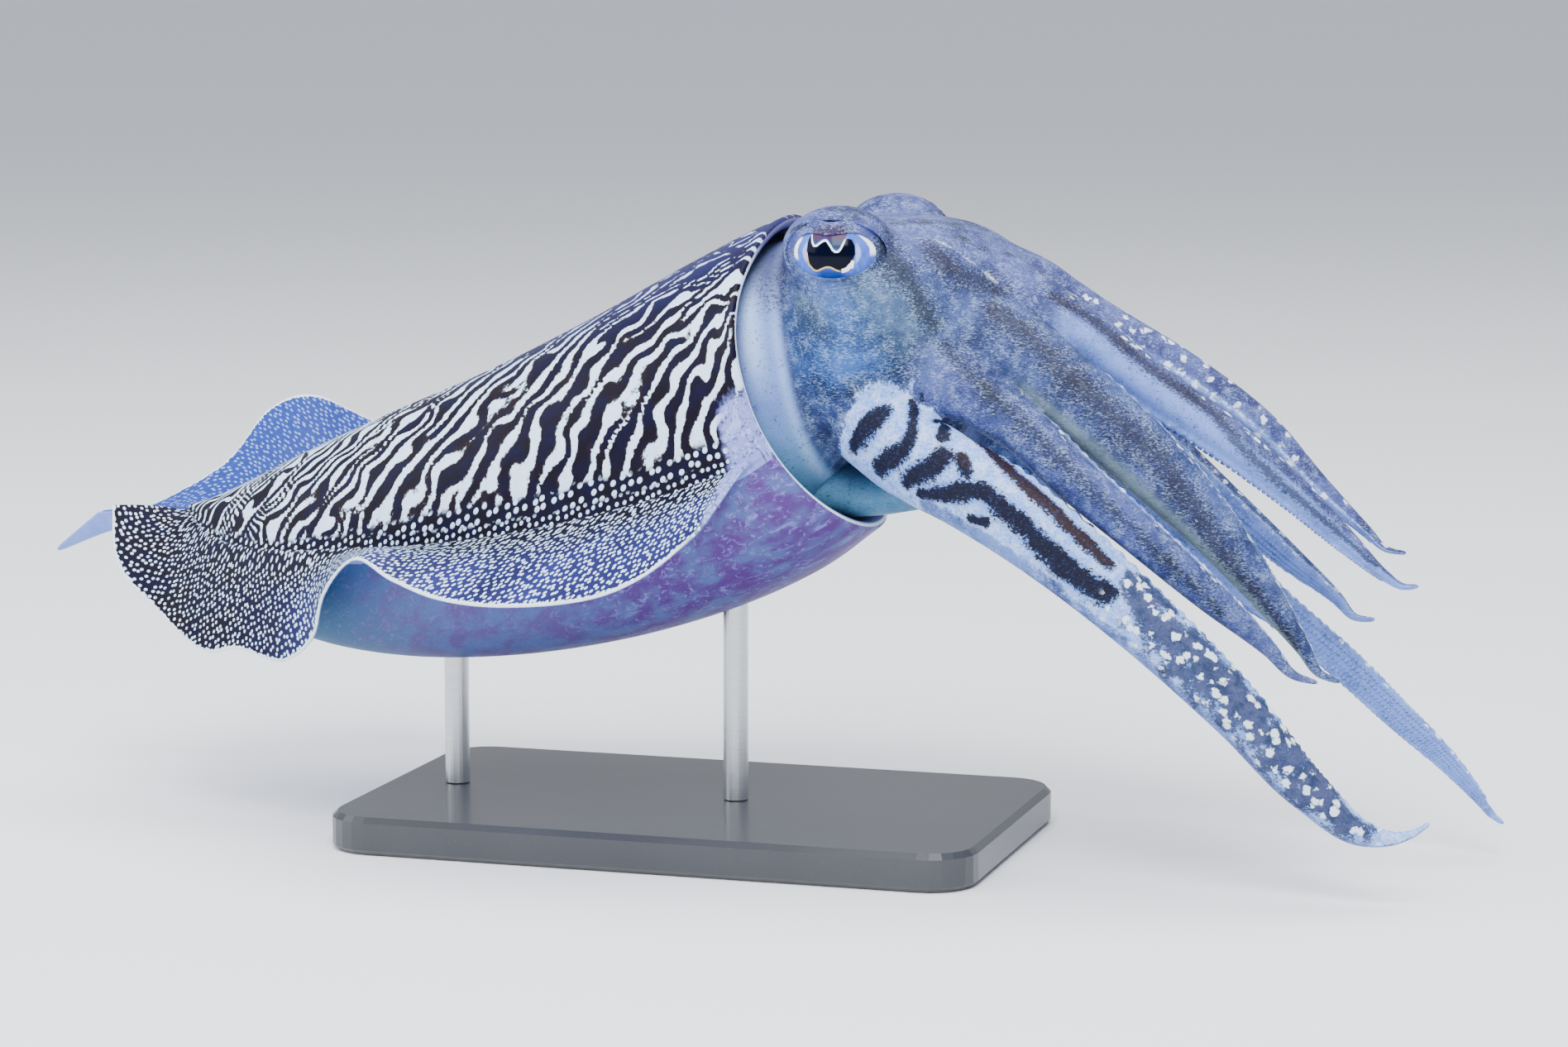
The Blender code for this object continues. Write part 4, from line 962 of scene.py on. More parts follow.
@dataclass
class CrownSkin:
    """The skin of neck, head and the roots of the arms: closed forms fused, eased and fitted.

    The forms are joined and remeshed into one surface, whose creases are then eased by moving each
    point towards the mean of its neighbours. Where an arm goes on free, points are set on its oval.
    """

    head: HeadShape
    body: BodyShape
    eye: EyeShape
    voxel: float = 0.8
    fused: float = 0.7
    crown_rounds: int = 40
    head_rounds: int = 6
    overlap: float = 8.0

    def forms(self) -> list[Form]:
        """The closed forms: head, eye domes, neck, and an inflated root for each arm."""
        degrees = np.arange(0, 360, 3.75)
        forms = [tube(self.head.surface(np.linspace(0, 6, 50), degrees))]
        first = self.body.rim_ring(degrees, 6.0, -18.6)
        last = self.head.ring(0, degrees, 3.0)
        share = np.linspace(0, 1, 20)[:, None, None]
        forms.append(tube(first * (1 - share) + last * share))
        for arm in ARMS.values():
            distances = np.arange(0, arm.cut + self.overlap, 1.2)
            offset = self.fused * (1 - ease(distances, arm.cut - 22, arm.cut - 8))
            rings = arm.surface(distances[:, None], degrees[None, ::2], offset[:, None])
            middle, _, along, _, _ = arm.frame([0.0])
            root = middle[0] + 0.62 * (rings[0] - middle[0]) - 4.2 * along[0]
            forms.append(tube(np.concatenate([root[None], rings])))
        slope = np.linspace(0.12, np.pi - 0.12, 24)[:, None]
        spin = np.radians(degrees[::2])
        ball = np.stack([np.sin(slope) * np.cos(spin), np.sin(slope) * np.sin(spin),
                         np.cos(slope) + 0 * spin], -1)
        for side in Side:
            forms.append(tube(self.eye.middle(side) + ball * self.eye.dome))
        return forms

    def fused_mesh(self) -> tuple[Array, Array]:
        """The forms as one remeshed surface: its points, in the animal's millimetres, and quads."""
        points, faces = joined(self.forms())
        mesh = bpy.data.meshes.new("crown forms")
        mesh.from_pydata(points * MM, [], faces)
        thing = linked("crown forms", mesh)
        remesh = thing.modifiers.new("Remesh", "REMESH")
        remesh.mode = "VOXEL"
        remesh.voxel_size = self.voxel * MM
        bpy.context.view_layer.update()
        result = thing.evaluated_get(bpy.context.evaluated_depsgraph_get()).to_mesh()
        flat = np.empty(3 * len(result.vertices), dtype=np.float32)
        result.vertices.foreach_get("co", flat)
        corners = np.empty(len(result.loops), dtype=np.int32)
        result.loops.foreach_get("vertex_index", corners)
        bpy.data.objects.remove(thing)
        return flat.reshape(-1, 3).astype(float) / MM, corners.reshape(-1, 4)

    def eased(self, points: Array, quads: Array, amount: Array, rounds: int) -> Array:
        """Points moved by an amount towards the mean of their neighbours, over and over."""
        start = quads.ravel()
        finish = np.roll(quads, -1, axis=1).ravel()
        count = np.maximum(np.bincount(start, minlength=len(points)), 1)
        for _ in range(rounds):
            mean = np.stack([np.bincount(start, points[finish, k], len(points)) for k in range(3)], -1)
            points = points + amount[:, None] * (mean / count[:, None] - points)
        return points

    def build(self) -> Piece:
        """Make the crown, and keep its points for the lids."""
        points, quads = self.fused_mesh()
        number, distance, degrees, radius = arm_places(points)
        cut = np.array([arm.cut for arm in ARMS.values()])[number]
        near = 1 - ease(radius, 1.25, 1.9)
        points = self.eased(points, quads, np.full(len(points), 0.5), self.head_rounds)
        crown = near * ease(distance, 2, 14) * (1 - ease(distance, cut - 12, cut - 4))
        points = self.eased(points, quads, 0.5 * crown, self.crown_rounds)
        snap = (1 - ease(radius, 1.3, 1.6)) * ease(distance, cut - 14, cut - 6)
        sink = 0.7 * ease(distance, cut - 3, cut + 5)
        for k, arm in enumerate(ARMS.values()):
            mine = np.flatnonzero((number == k) & (snap > 0))
            exact = arm.surface(distance[mine], degrees[mine], -sink[mine])
            points[mine] += snap[mine, None] * (exact - points[mine])
        self.points = points.copy()
        self.places = (number, distance, degrees, radius)
        for side in Side:
            self.open_eye(points, side)
        piece = make_piece("crown_skin", points, quads.tolist(), ["head", "neck"], "head_skin")
        MARKS.paint(piece, self.points, *self.places)
        dress(piece, soft_skin())
        return piece

    def open_eye(self, points: Array, side: Side) -> None:
        """Push the skin behind the eyeball inside the lids' opening."""
        centre = self.eye.middle(side)
        ahead, up = points[:, 0] - centre[0], points[:, 2] - centre[2]
        out = side.value * (points[:, 1] - centre[1])
        ring = np.hypot((ahead - self.eye.opening_middle[0]) / (self.eye.opening[0] + 1.6),
                        (up - self.eye.opening_middle[1]) / (self.eye.opening[1] + 1.6))
        inside = (1 - ease(ring, 0.94, 1.12)) * (out > 0)
        wanted = np.minimum(out, self.eye.bulge(ahead, up) - 2.6)
        points[:, 1] += side.value * inside * (wanted - out)

    def hugged(self, side: Side, points: Array) -> Array:
        """Points drawn on to the head's skin: a mean of its nearest points, weighted by a bell."""
        skin = self.points[np.linalg.norm(self.points - self.eye.middle(side), axis=1) < 30]
        found = []
        for part in np.array_split(points.reshape(-1, 3), 12):
            gap = ((part[:, None] - skin) ** 2).sum(axis=-1)
            weight = np.exp(-(gap - gap.min(axis=1, keepdims=True)) / 1.3)
            found.append(weight @ skin / weight.sum(axis=1, keepdims=True))
        return np.concatenate(found).reshape(points.shape)


@dataclass
class LidSkin:
    """The lids and the folded skin round one eye, a ring-shaped grid laid on the head."""

    crown: CrownSkin
    eye: EyeShape
    columns: int = 192
    lip: float = 1.0
    brow_share: float = 0.3
    reaches: tuple[float, ...] = (
        -1.8, -1, -0.5, 0, 0.12, 0.3, 0.55, 0.85, 1.2, 1.6, 2, 2.4, 2.8, 3.2, 3.6, 4, 4.4, 4.7, 5, 5.3)

    def build(self, side: Side) -> Piece:
        """Make one eye's lids: a quarter-round lip off the ball, eased into the head with shallow folds."""
        degrees = spread(self.columns)
        edge_ahead, edge_up = self.eye.edge(degrees)
        tangent = np.stack([np.roll(edge_ahead, -1) - np.roll(edge_ahead, 1),
                            np.roll(edge_up, -1) - np.roll(edge_up, 1)], -1)
        normal = unit(np.stack([tangent[:, 1], -tangent[:, 0]], -1))
        smooth = sum(np.roll(normal, k, axis=0) for k in range(-9, 10))
        normal = unit(smooth)
        reach = np.array(self.reaches)[:, None]
        reach = reach * (1 - self.brow_share * bell(degrees, 90, 42) * (reach > 0))
        ahead = edge_ahead + reach * normal[:, 0]
        up = edge_up + reach * normal[:, 1]
        ball = self.eye.bulge(ahead, up)
        rise = np.clip(reach / 0.9, 0, 1)
        lip = self.lip * np.sqrt(1 - (1 - rise) ** 2) + np.minimum(reach, 0) * 0.7
        corner = np.abs(np.cos(np.radians(degrees))) ** 2
        fold = -0.28 * (0.3 + 0.7 * corner) * bell(reach, 2.6, 0.4) + 0.2 * corner * bell(reach, 3.6, 0.5)
        centre = self.eye.middle(side)
        points = np.stack([centre[0] + ahead, centre[1] + side.value * (ball + lip), centre[2] + up], -1)
        skin = self.crown.hugged(side, points)
        outward = unit(points - centre)
        share = reach / np.maximum(reach.max(axis=0), 1e-6)
        stand = 0.35 + fold - 1.5 * ease(share, 0.7, 1.0)
        points += ease(reach, 0.6, 3.2)[..., None] * (skin + stand[..., None] * outward - points)
        back = points[[-1, 0]].copy()
        back[:, :, 1] -= side.value * 2.5
        rings = np.concatenate([points, back])
        closing = grid_faces(2, self.columns)
        closing[:, :2] += (len(rings) - 1) * self.columns
        closing[:, 2:] -= self.columns
        faces = np.concatenate([grid_faces(len(rings), self.columns), closing]).tolist()
        name = "lids_" + side.name.lower()
        piece = make_piece(name, rings, faces, [], "head_skin")
        points = placed(piece)
        MARKS.paint(piece, points, *arm_places(points))
        dress(piece, soft_skin())
        return piece


@dataclass
class Eyeball:
    """One eyeball, a grid of rings about its outward axis with a map of its face in millimetres."""

    eye: EyeShape
    rings: int = 72
    columns: int = 96

    def build(self, side: Side) -> Piece:
        """Make the ball: an ellipsoid in polar steps from its face to its back."""
        slope = np.linspace(0, np.pi, self.rings + 2)[1:-1, None]
        spin = (np.arange(self.columns) * 2 * np.pi / self.columns)[None, :]
        ahead = self.eye.radii[0] * np.sin(slope) * np.cos(spin)
        up = self.eye.radii[2] * np.sin(slope) * np.sin(spin)
        out = self.eye.radii[1] * np.cos(slope) + 0 * spin
        centre = self.eye.middle(side)
        rings = np.stack([centre[0] + ahead, centre[1] + side.value * out, centre[2] + up], -1)
        points, faces = tube(rings)
        points[-2:, 1] = centre[1] + side.value * self.eye.radii[1] * np.array([1, -1])
        name = "eyeball_" + side.name.lower()
        node = "eye_" + side.name.lower()
        piece = make_piece(name, points, faces, [node], "eye")
        set_map(piece, (points - centre)[:, [0, 2]])
        dress(piece, EyeFinish().make(side))
        return piece


@dataclass
class ArmSkin:
    """The skin of one free arm, a grid along and round its path, sunk in the crown at its root."""

    arm: ArmLine
    step: float = 0.8
    columns: int = 64
    membrane: float = 0.17

    def rows(self) -> Array:
        """Distances of the rows, crowding towards the rounded tip."""
        free = np.arange(self.arm.cut - 12, self.arm.length - self.arm.tip, self.step)
        tip = self.arm.length - self.arm.tip * (1 - np.sin(np.linspace(0, np.pi / 2, 9)[:-1]))
        return np.concatenate([free[free < tip[0] - 0.3], tip])

    def relief(self, distance: Array, degrees: Array, half: Array) -> Array:
        """What stands off the oval: a thin scalloped membrane along both edges of the sucker side."""
        scallop = 0.7 + 0.3 * np.cos(2 * np.pi * distance / (0.62 * half + 1.2))
        edge = bell(np.abs(degrees), 116, 8)
        free = ease(distance, self.arm.cut + 2, self.arm.cut + 16)
        groove = -0.05 * bell(np.abs(degrees), 96, 9)
        return free * half * (self.membrane * scallop * edge + groove)

    def build(self) -> tuple[Array, list, Array, Array]:
        """The arm's points and faces, and each point's distance along and angle."""
        rows = self.rows()
        degrees = spread(self.columns)
        degrees = np.where(degrees > 180, degrees - 360, degrees)
        distance, turned = np.meshgrid(rows, degrees, indexing="ij")
        half = through(self.arm.knots, rows)[:, 4:].mean(axis=1)[:, None]
        sink = -0.7 * (1 - ease(rows, self.arm.cut - 9, self.arm.cut - 1))[:, None]
        points = self.arm.surface(distance, turned, sink + self.relief(distance, turned, half))
        start = self.arm.length - self.arm.tip
        share = np.sqrt(np.clip(1 - ((rows - start) / self.arm.tip) ** 2, 0.02, 1))
        share = np.where(rows > start, share, 1.0)[:, None, None]
        middle = self.arm.frame(rows)[0][:, None]
        points = middle + share * (points - middle)
        all_points, faces = tube(points)
        ends = np.array([rows[0], rows[-1]])
        return (all_points, faces, np.concatenate([distance.ravel(), ends]),
                np.concatenate([turned.ravel(), [0, 0]]))


@dataclass
class SuckerRows:
    """The suckers of one arm: four rows of small cups that shrink towards the tip."""

    arm: ArmLine
    share: float = 0.13
    sides: int = 9
    rows: tuple[float, ...] = (-0.56, -0.19, 0.19, 0.56)
    profile: Pairs = ((-0.9, 0.5), (0.3, 0.62), (0.75, 0.98), (0.95, 0.86), (0.62, 0.55), (0.45, 0.3))

    def build(self) -> Piece:
        """Make all cups of the arm: a turned profile of (height, radius), square to the skin there."""
        random = np.random.default_rng(len(self.arm.name) + 7 * list(ARMS).index(self.arm.name))
        places = [self.arm.cut + 2.0]
        while places[-1] < self.arm.length - 10.0:
            half = through(self.arm.knots, [places[-1]])[0, 3]
            places.append(places[-1] + 2.25 * max(self.share * half, 0.32))
        along_all, row_all = [], []
        for k, place in enumerate(places[:-1]):
            gap = places[k + 1] - place
            for j, row in enumerate(self.rows):
                along_all.append(place + gap * (0.5 if j % 2 else 0.0))
                row_all.append(row)
        distance, row = np.array(along_all), np.array(row_all)
        middle, half, along, back, side = self.arm.frame(distance)
        radius = np.clip(self.share * half[:, 0], 0.3, 1.5) * random.uniform(0.9, 1.08, len(distance))
        depth = self.arm.flattening * half[:, 1] * (1 - np.abs(row) ** (2 / self.arm.fullness)) \
            ** (self.arm.fullness / 2)
        foot = middle + (row * half[:, 0])[:, None] * side - depth[:, None] * back
        out = unit(-back + 0.55 * row[:, None] * side)
        level = unit(along - np.einsum("pk,pk->p", along, out)[:, None] * out)
        other = np.cross(out, level)
        spin = np.arange(self.sides) * 2 * np.pi / self.sides
        circle = np.cos(spin)[:, None] * level[:, None] + np.sin(spin)[:, None] * other[:, None]
        rings = np.stack([foot[:, None] + radius[:, None, None] * (high * out[:, None] + wide * circle)
                          for high, wide in self.profile], axis=1)
        points, faces = joined([tube(cup) for cup in rings])
        piece = make_piece("suckers_" + self.arm.name, points, faces, [], "arm_skin")
        dress_evenly(piece, PALETTE.pale, 1.0)
        return piece


@dataclass
class Arms:
    """The eight arms as one skin, and their suckers."""

    arms: tuple[ArmLine, ...] = tuple(ARMS.values())

    def build(self) -> Piece:
        """Make the skin of all arms, paint and dress it, and add each arm's suckers."""
        parts = [ArmSkin(arm).build() for arm in self.arms]
        points, faces = joined([part[:2] for part in parts])
        nodes = ["arm_%s_%s" % (arm.name, end) for arm in self.arms for end in ("base", "tip")]
        piece = make_piece("arm_skin", points, faces, nodes, "arm_skin")
        number = np.concatenate([np.full(len(part[0]), k) for k, part in enumerate(parts)])
        distance, degrees = (np.concatenate([part[k] for part in parts]) for k in (2, 3))
        MARKS.paint(piece, points, number, distance, degrees, np.ones(len(points)))
        dress(piece, soft_skin())
        for arm in self.arms:
            SuckerRows(arm).build()
        return piece


@dataclass
class FunnelSkin:
    """The funnel under the neck: a tapering tube with a soft flared lip and a deep bore."""

    path: ArmLine = field(default_factory=lambda: ArmLine(
        "funnel", [(197, -1, 15, 13.5, 8.5), (206, -3, 14.6, 12, 7.4), (215, -5, 15, 10, 6.6),
                   (227, -7, 16, 7, 5.2)], (0, 0, 1), 10, fullness=1.0, flattening=1.0))
    bore: float = 0.66
    depth: float = 9.0
    columns: int = 72

    def build(self) -> Piece:
        """Make the funnel: ovals along its path, a rounded lip, then ovals back down inside it."""
        length = self.path.length
        outside = np.linspace(0, length, 40)
        inside = length - np.linspace(0, self.depth, 14)
        degrees = spread(self.columns)
        outer = self.path.surface(outside[:, None], degrees[None])
        inner = self.path.surface(inside[:, None], degrees[None])
        middle = self.path.frame(inside)[0][:, None]
        along = self.path.frame([length])[2][0]
        wave = 1 + 0.025 * np.sin(np.radians(3 * degrees))[None, :, None]
        inner = middle + self.bore * wave * (inner - middle)
        lips = []
        for share, ahead in ((0.97, 0.35), (0.9, 0.62), (0.8, 0.55), (0.72, 0.25)):
            lips.append(middle[0] + share * (outer[-1] - middle[0]) + ahead * along)
        points, faces = tube(np.concatenate([outer, np.array(lips), inner]))
        piece = make_piece("funnel_skin", points, faces, ["funnel"], "pale_skin")
        dress_evenly(piece, PALETTE.funnel, 0.8)
        return piece


@dataclass
class MouthSkin:
    """The lips: a turned form with fine radial folds round the sunken opening."""

    head: HeadShape
    profile: Pairs = (
        (0.3, 8), (3, 7.9), (5, 7.5), (7, 6.9), (8.4, 6), (9, 5.2), (8.9, 4.5), (8.1, 3.9), (6.4, 3.7),
        (4.5, 3.7))
    columns: int = 120
    folds: int = 20

    def build(self) -> Piece:
        """Make the lips: the profile turned about the way the head faces, its radius rippled by a sine."""
        middle, ahead = facing(self.head.knots[-1])
        level = unit(np.cross(ahead, (0, 1, 0)))
        across = np.cross(ahead, level)
        knots = [(k, *row) for k, row in enumerate(self.profile)]
        fine = through(knots, np.linspace(0, len(knots) - 1, 46))
        spin = np.arange(self.columns) * 2 * np.pi / self.columns
        strength = 0.35 * bell(fine[:, 0], 7.5, 2.2)[:, None]
        radius = fine[:, 1:2] - strength * (0.5 - 0.5 * np.cos(self.folds * spin))[None]
        circle = np.cos(spin)[:, None] * level + np.sin(spin)[:, None] * across
        rings = middle + fine[:, :1, None] * ahead + radius[..., None] * circle
        points, faces = tube(rings)
        piece = make_piece("lips", points, faces, ["mouth"], "pale_skin")
        dress_evenly(piece, PALETTE.funnel, 0.8)
        return piece


@dataclass(frozen=True)
class Palette:
    """The colours of the living skin, and of the painted shade and highlights, as they look on a screen."""

    lilac: Triple = (0.28, 0.32, 0.56)
    grey: Triple = (0.25, 0.32, 0.53)
    cheek: Triple = (0.2, 0.36, 0.62)
    pale: Triple = (0.44, 0.56, 0.84)
    glass: Triple = (0.42, 0.5, 0.55)
    collar: Triple = (0.38, 0.49, 0.75)
    funnel: Triple = (0.3, 0.5, 0.64)
    # Painted shade on the neck inside the mantle and at the top of the collar.
    brown_shade: Triple = (0.22, 0.14, 0.28)
    # Painted shadow in the crease behind the head.
    shade: Triple = (0.14, 0.2, 0.38)
    # Painted highlights beside that crease and along the collar's rim.
    gleam: Triple = (0.66, 0.78, 0.97)
    moss: Triple = (0.3, 0.4, 0.46)
    olive_ink: Triple = (0.09, 0.11, 0.1)
    brown_ink: Triple = (0.1, 0.075, 0.1)
    grey_ink: Triple = (0.09, 0.12, 0.24)
    indigo_ink: Triple = (0.03, 0.05, 0.17)
    # Painted shade along the fold over each eye and at the top of the collar.
    red_shade_ink: Triple = (0.19, 0.07, 0.12)


PALETTE = Palette()


def linear(colour: Triple) -> Array:
    """A screen colour as a row of linear light."""
    return np.array(srgb(*colour)[:3])


def inside(places: Array, line: Knots) -> Array:
    """How deep places lie in a painted line: 1 on its middle, 0.5 on its edge, 0 two half widths out.

    Args:
        places: rows of coordinates, in millimetres.
        line: knots of the same coordinates followed by a half width.

    Returns:
        One value for each place.
    """
    knots = np.array(line, dtype=float)
    if len(knots) == 1:
        knots = np.repeat(knots, 2, axis=0)
    best = np.full(len(places), 9.0)
    for start, finish in zip(knots, knots[1:]):
        step = (finish - start)[:-1]
        t = np.clip((places - start[:-1]) @ step / max(step @ step, 1e-9), 0, 1)
        gap = np.linalg.norm(places - start[:-1] - t[:, None] * step, axis=1)
        best = np.minimum(best, gap / (start[-1] + t * (finish[-1] - start[-1])))
    return np.clip(1 - 0.5 * best, 0, 1)


def deepest(places: Array, lines: Lines) -> Array:
    """How deep places lie in the deepest of several painted lines."""
    return np.max([inside(places, line) for line in lines], axis=0)


@dataclass
class SkinMarks:
    """The marks of head and arms, alike on both sides, from the places of the points.

    Lines on the head are (x, distance from the middle plane, z, half width). Lines on an arm are
    (distance along, arc from its back towards the lower edge, half width).
    """

    olive: Lines = (
        [(222, 30, 88, 3.6), (225, 35, 84, 5), (229, 36, 79, 4.6), (231, 35, 76, 3)], [(230, 34, 81, 2.4),
        (233, 35, 73, 2.9), (237, 34, 65, 3)])
    brown: Lines = (
        [(235, 27, 85, 4), (243, 27, 79, 4.8), (252, 22, 74, 3.8)], [(241, 16, 88, 2.4)],
        [(246, 14, 84, 2.2)], [(229, 12, 91, 2)], [(236, 6, 90, 2.4)], [(222, 20, 93, 2.2)],
        [(252, 8, 82, 2.2)])
    indigo: Lines = (
        [(216, 37, 47, 3.6), (221, 38, 49, 4.4), (229, 35, 51, 5.4)], [(206, 38, 50, 4.6),
        (211, 38, 44, 3.6)])
    # The first is a dark spot by the cheek; the second, a navy line along the fold over each eye, is painted
    # shade.
    spot: Lines = (
        [(215.5, 37, 46, 1.7)], [(197.5, 36, 90.5, 0.7), (200.5, 38, 91.8, 0.9), (203, 39, 92.6, 0.7)])
    root_white: Lines = (
        [(228.5, 37, 40, 2.2), (230.5, 36, 45, 1.7), (232, 35, 50, 0.9)], [(236.5, 36, 40, 1.8),
        (238.5, 34, 45, 1.1)], [(219, 38, 41, 2.6)])
    root_dark: Lines = ([(232.5, 37, 39, 1.3), (234.5, 35, 46, 1.2), (236.5, 34, 51, 0.7)],)
    # Dark red lines: painted shade at the top of the collar and along the fold over each eye, and a short
    # line behind each eye.
    red_shade: Lines = (
        [(186, 28, 85, 5), (188, 33, 79, 6), (190, 35, 72, 4)], [(203.5, 40, 92.4, 0.9),
        (206.5, 41, 91, 1.3), (211.4, 41, 90.8, 1.3), (215.5, 40, 92, 0.9)], [(195, 34, 78, 1.6),
        (196, 36, 84, 1.6)])
    cheek: Knots = ((206, 40, 56, 10), (216, 42, 60, 11), (222, 38, 56, 8))
    moss: Lines = (
        [(219, 38, 76, 5), (226, 36, 68, 7), (232, 34, 58, 6)], [(200, 38, 70, 3), (206, 40, 67, 4)])
    pale_line: Knots = ((235, 23, 88, 0.9), (245, 22.5, 82, 1.1), (254, 20.5, 74, 1.1), (262, 18, 67, 0.9))
    band_one: Knots = (
        (38, 2.4, 1.6), (49, 0.6, 2.1), (66, 1.5, 2.3), (85, 1, 2.2), (94, 1.6, 2), (104, 4.4, 1.8),
        (118, 5.1, 1.5), (130, 3.9, 1.2), (139, 2.8, 1), (152, 1.2, 0.7))
    band_two: Knots = (
        (25, -5.4, 3.4), (37, -4.2, 3.8), (46, -3.2, 3.8), (66, -2.2, 3.9), (85, -2.4, 3.6), (98, -0.8, 3),
        (109, 1, 2.8), (122, 1.4, 2.2), (132, 0.9, 1.6), (147, 1, 1))
    band_three: Knots = (
        (17, -10.4, 2.4), (27, -6.6, 2.7), (33, -5, 2.8), (39, -3.1, 2.8), (56, -2, 3), (67, -2, 2.6),
        (82, -1.6, 2.2), (98, -0.9, 1.9), (120, 0, 1.3))
    stripes_four: Lines = (
        [(6, 2, 2.4), (10, -3.2, 4), (12.5, -9.5, 2.8)], [(6.5, -13.5, 1), (10, -15.5, 1.2)],
        [(13, -22.5, 1.5), (20, -15.2, 1.9), (24, -9.1, 2.1), (24, -3.4, 2.7), (18, 2.4, 2.6)],
        [(28, -21.5, 1.9), (27, -17, 1.4)], [(36, -7.1, 2.8), (34, -3.3, 2.8), (27, 2, 2.1)],
        [(30, -17.4, 1.6), (33, -12.2, 2)], [(40, -8.8, 2), (42.5, -5.9, 2)], [(32, 3.4, 1.5),
        (40, 0.4, 1.9), (43, -1.1, 2.4), (49, -4, 2.4), (53, -3.2, 2.6), (60, -3, 2.5), (67, -1.6, 2.4),
        (76, -0.9, 2.9), (84, -1, 2.6), (90.5, -2.4, 3)], [(36, -20, 1.4), (43, -18.4, 2.4),
        (52, -14.4, 2.9), (62, -12.2, 2.9), (71, -10, 2.6), (78, -9.6, 2.7), (86, -8.8, 1.9)],
        [(54, -20.4, 0.5), (64, -18.8, 0.7), (76, -17.2, 0.6)], [(48.5, 2.6, 1.1), (53, 1.4, 1.2)])
    field_four: Lines = (
        [(92, -11, 2.4), (97, -6.4, 3.4), (103, -4.6, 3.6)], [(94, -13, 2.2), (106, -11.5, 2.6)],
        [(102, -6.4, 5.4), (116, -5.6, 7.6), (128, -5.2, 7.7), (140, -5.4, 7.7), (152, -5, 7.4),
        (164, -4.2, 6.2), (174, -3.2, 4.6), (184, -2.2, 3)])

    def paint(self, piece: Piece, points: Array, number: Array, distance: Array, degrees: Array,
              radius: Array) -> None:
        """Store the tint, ink and marks on a piece.

        Args:
            piece: the piece to paint.
            points: its points in the animal's millimetres.
            number: the nearest arm of each point, by its place in the list of arms.
            distance: distances along those arms.
            degrees: angles round them from their backs.
            radius: how many times an arm's radius away each point is.
        """
        x, y, z = points.T
        flat = np.column_stack([x, np.abs(y), z])
        right = np.array([name[0] == "r" for name in ARMS])[number]
        order = np.array([int(name[1]) for name in ARMS])[number]
        girth = np.zeros(len(points))
        for k, arm in enumerate(ARMS.values()):
            mine = number == k
            girth[mine] = arm.girth(distance[mine])
        low = degrees * np.where(right, 1, -1)
        arc = low / 360 * girth
        on_arm = 1 - ease(radius, 1.12, 1.5)
        on_arm *= ease(distance, 3, 9)
        lines = np.column_stack([distance, arc])
        tint, plain = self.tints(flat, order, distance, low, on_arm)
        ink = np.tile(linear(PALETTE.brown_ink), (len(points), 1))
        patch = np.zeros(len(points))

        off_four, off_arms = 1 - on_arm * (order == 4), 1 - on_arm * (distance > 20)
        for group, where, colour, strengths in (
                (self.olive, off_arms, PALETTE.olive_ink, (0.95, 0.95)),
                (self.brown, 1, PALETTE.brown_ink, (0.95,) * len(self.brown)),
                (self.indigo, off_four, PALETTE.indigo_ink, (0.72, 0.72)),
                # The fold lines over the eyes and the dark red lines at the collar's top are painted shade.
                (self.spot, off_four, PALETTE.indigo_ink, (1.3, 1.3)),
                (self.red_shade, 1, PALETTE.red_shade_ink, (1.1, 1.0, 0.7)),
                ((self.band_one,), on_arm * (order == 1), PALETTE.brown_ink, (1.05,)),
                ((self.band_two,), on_arm * (order == 2), PALETTE.brown_ink, (0.92,)),
                ((self.band_three,), on_arm * (order == 3), PALETTE.olive_ink, (0.8,))):
            for line, strength in zip(group, strengths):
                depth = inside(flat if len(line[0]) == 4 else lines, line) * where
                wins = (strength * depth > patch) & (depth > 0.05)
                ink = np.where(wins[:, None], linear(colour), ink)
                patch = np.maximum(patch, strength * depth)
        four = on_arm * (order == 4)
        outer = four * ease(low, -150, -120)
        outer = np.where(right, outer, outer * ease(low, -100, -76))
        mark = deepest(lines, self.stripes_four) * outer
        blotch = deepest(lines, self.field_four) * outer
        lower_strip = ease(low, 8, 32)
        root = (order == 4) * (1 - ease(radius, 1.1, 1.95)) * ease(distance, 0, 6)
        above = deepest(flat, self.root_white) * 0.8
        mark = np.maximum(mark, 0.8 * deepest(flat, self.root_dark) * (1 - four))
        white = np.maximum(np.maximum(four, root), above * (1 - four))
        white *= 1 - 0.85 * lower_strip * ease(distance, 22, 38)
        white *= 1 - ease(np.abs(low), 112, 128)
        warm = four * ease(arc, -5, -9) * ease(distance, 30, 44) * (1 - ease(distance, 86, 100))
        pale = inside(flat, self.pale_line)
        spots = self.spotted(order, distance, low) * on_arm
        edge = on_arm * ease(distance, 22, 40) * (order != 4)
        edge = edge * (bell(low, -104, 9) + 0.6 * bell(low, 108, 9))
        set_values(piece, tint=tint, ink=ink, patch=patch, mark=mark, blotch=blotch, white=white, warm=warm,
                   plain=plain, pale=np.maximum(0.7 * pale, 0.66 * np.clip(edge, 0, 1)), spots=spots)

    def spotted(self, order: Array, distance: Array, low: Array) -> Array:
        """Where small white spots are scattered: along the arms' upper sides."""
        first = ease(-low, -2, 14) * ease(distance, 34, 48)
        third = bell(low, -98, 16) * ease(distance, 44, 56)
        second = (bell(low, -95, 18) + 0.35 * bell(low, 64, 12)) * ease(distance, 60, 80)
        fourth = (bell(low, -40, 46) + 0.75 * bell(low, -112, 16)) * ease(distance, 84, 96)
        return np.select([order == 1, order == 2, order == 3, order == 4],
                         [first * ease(low, -165, -140), second, third, fourth])

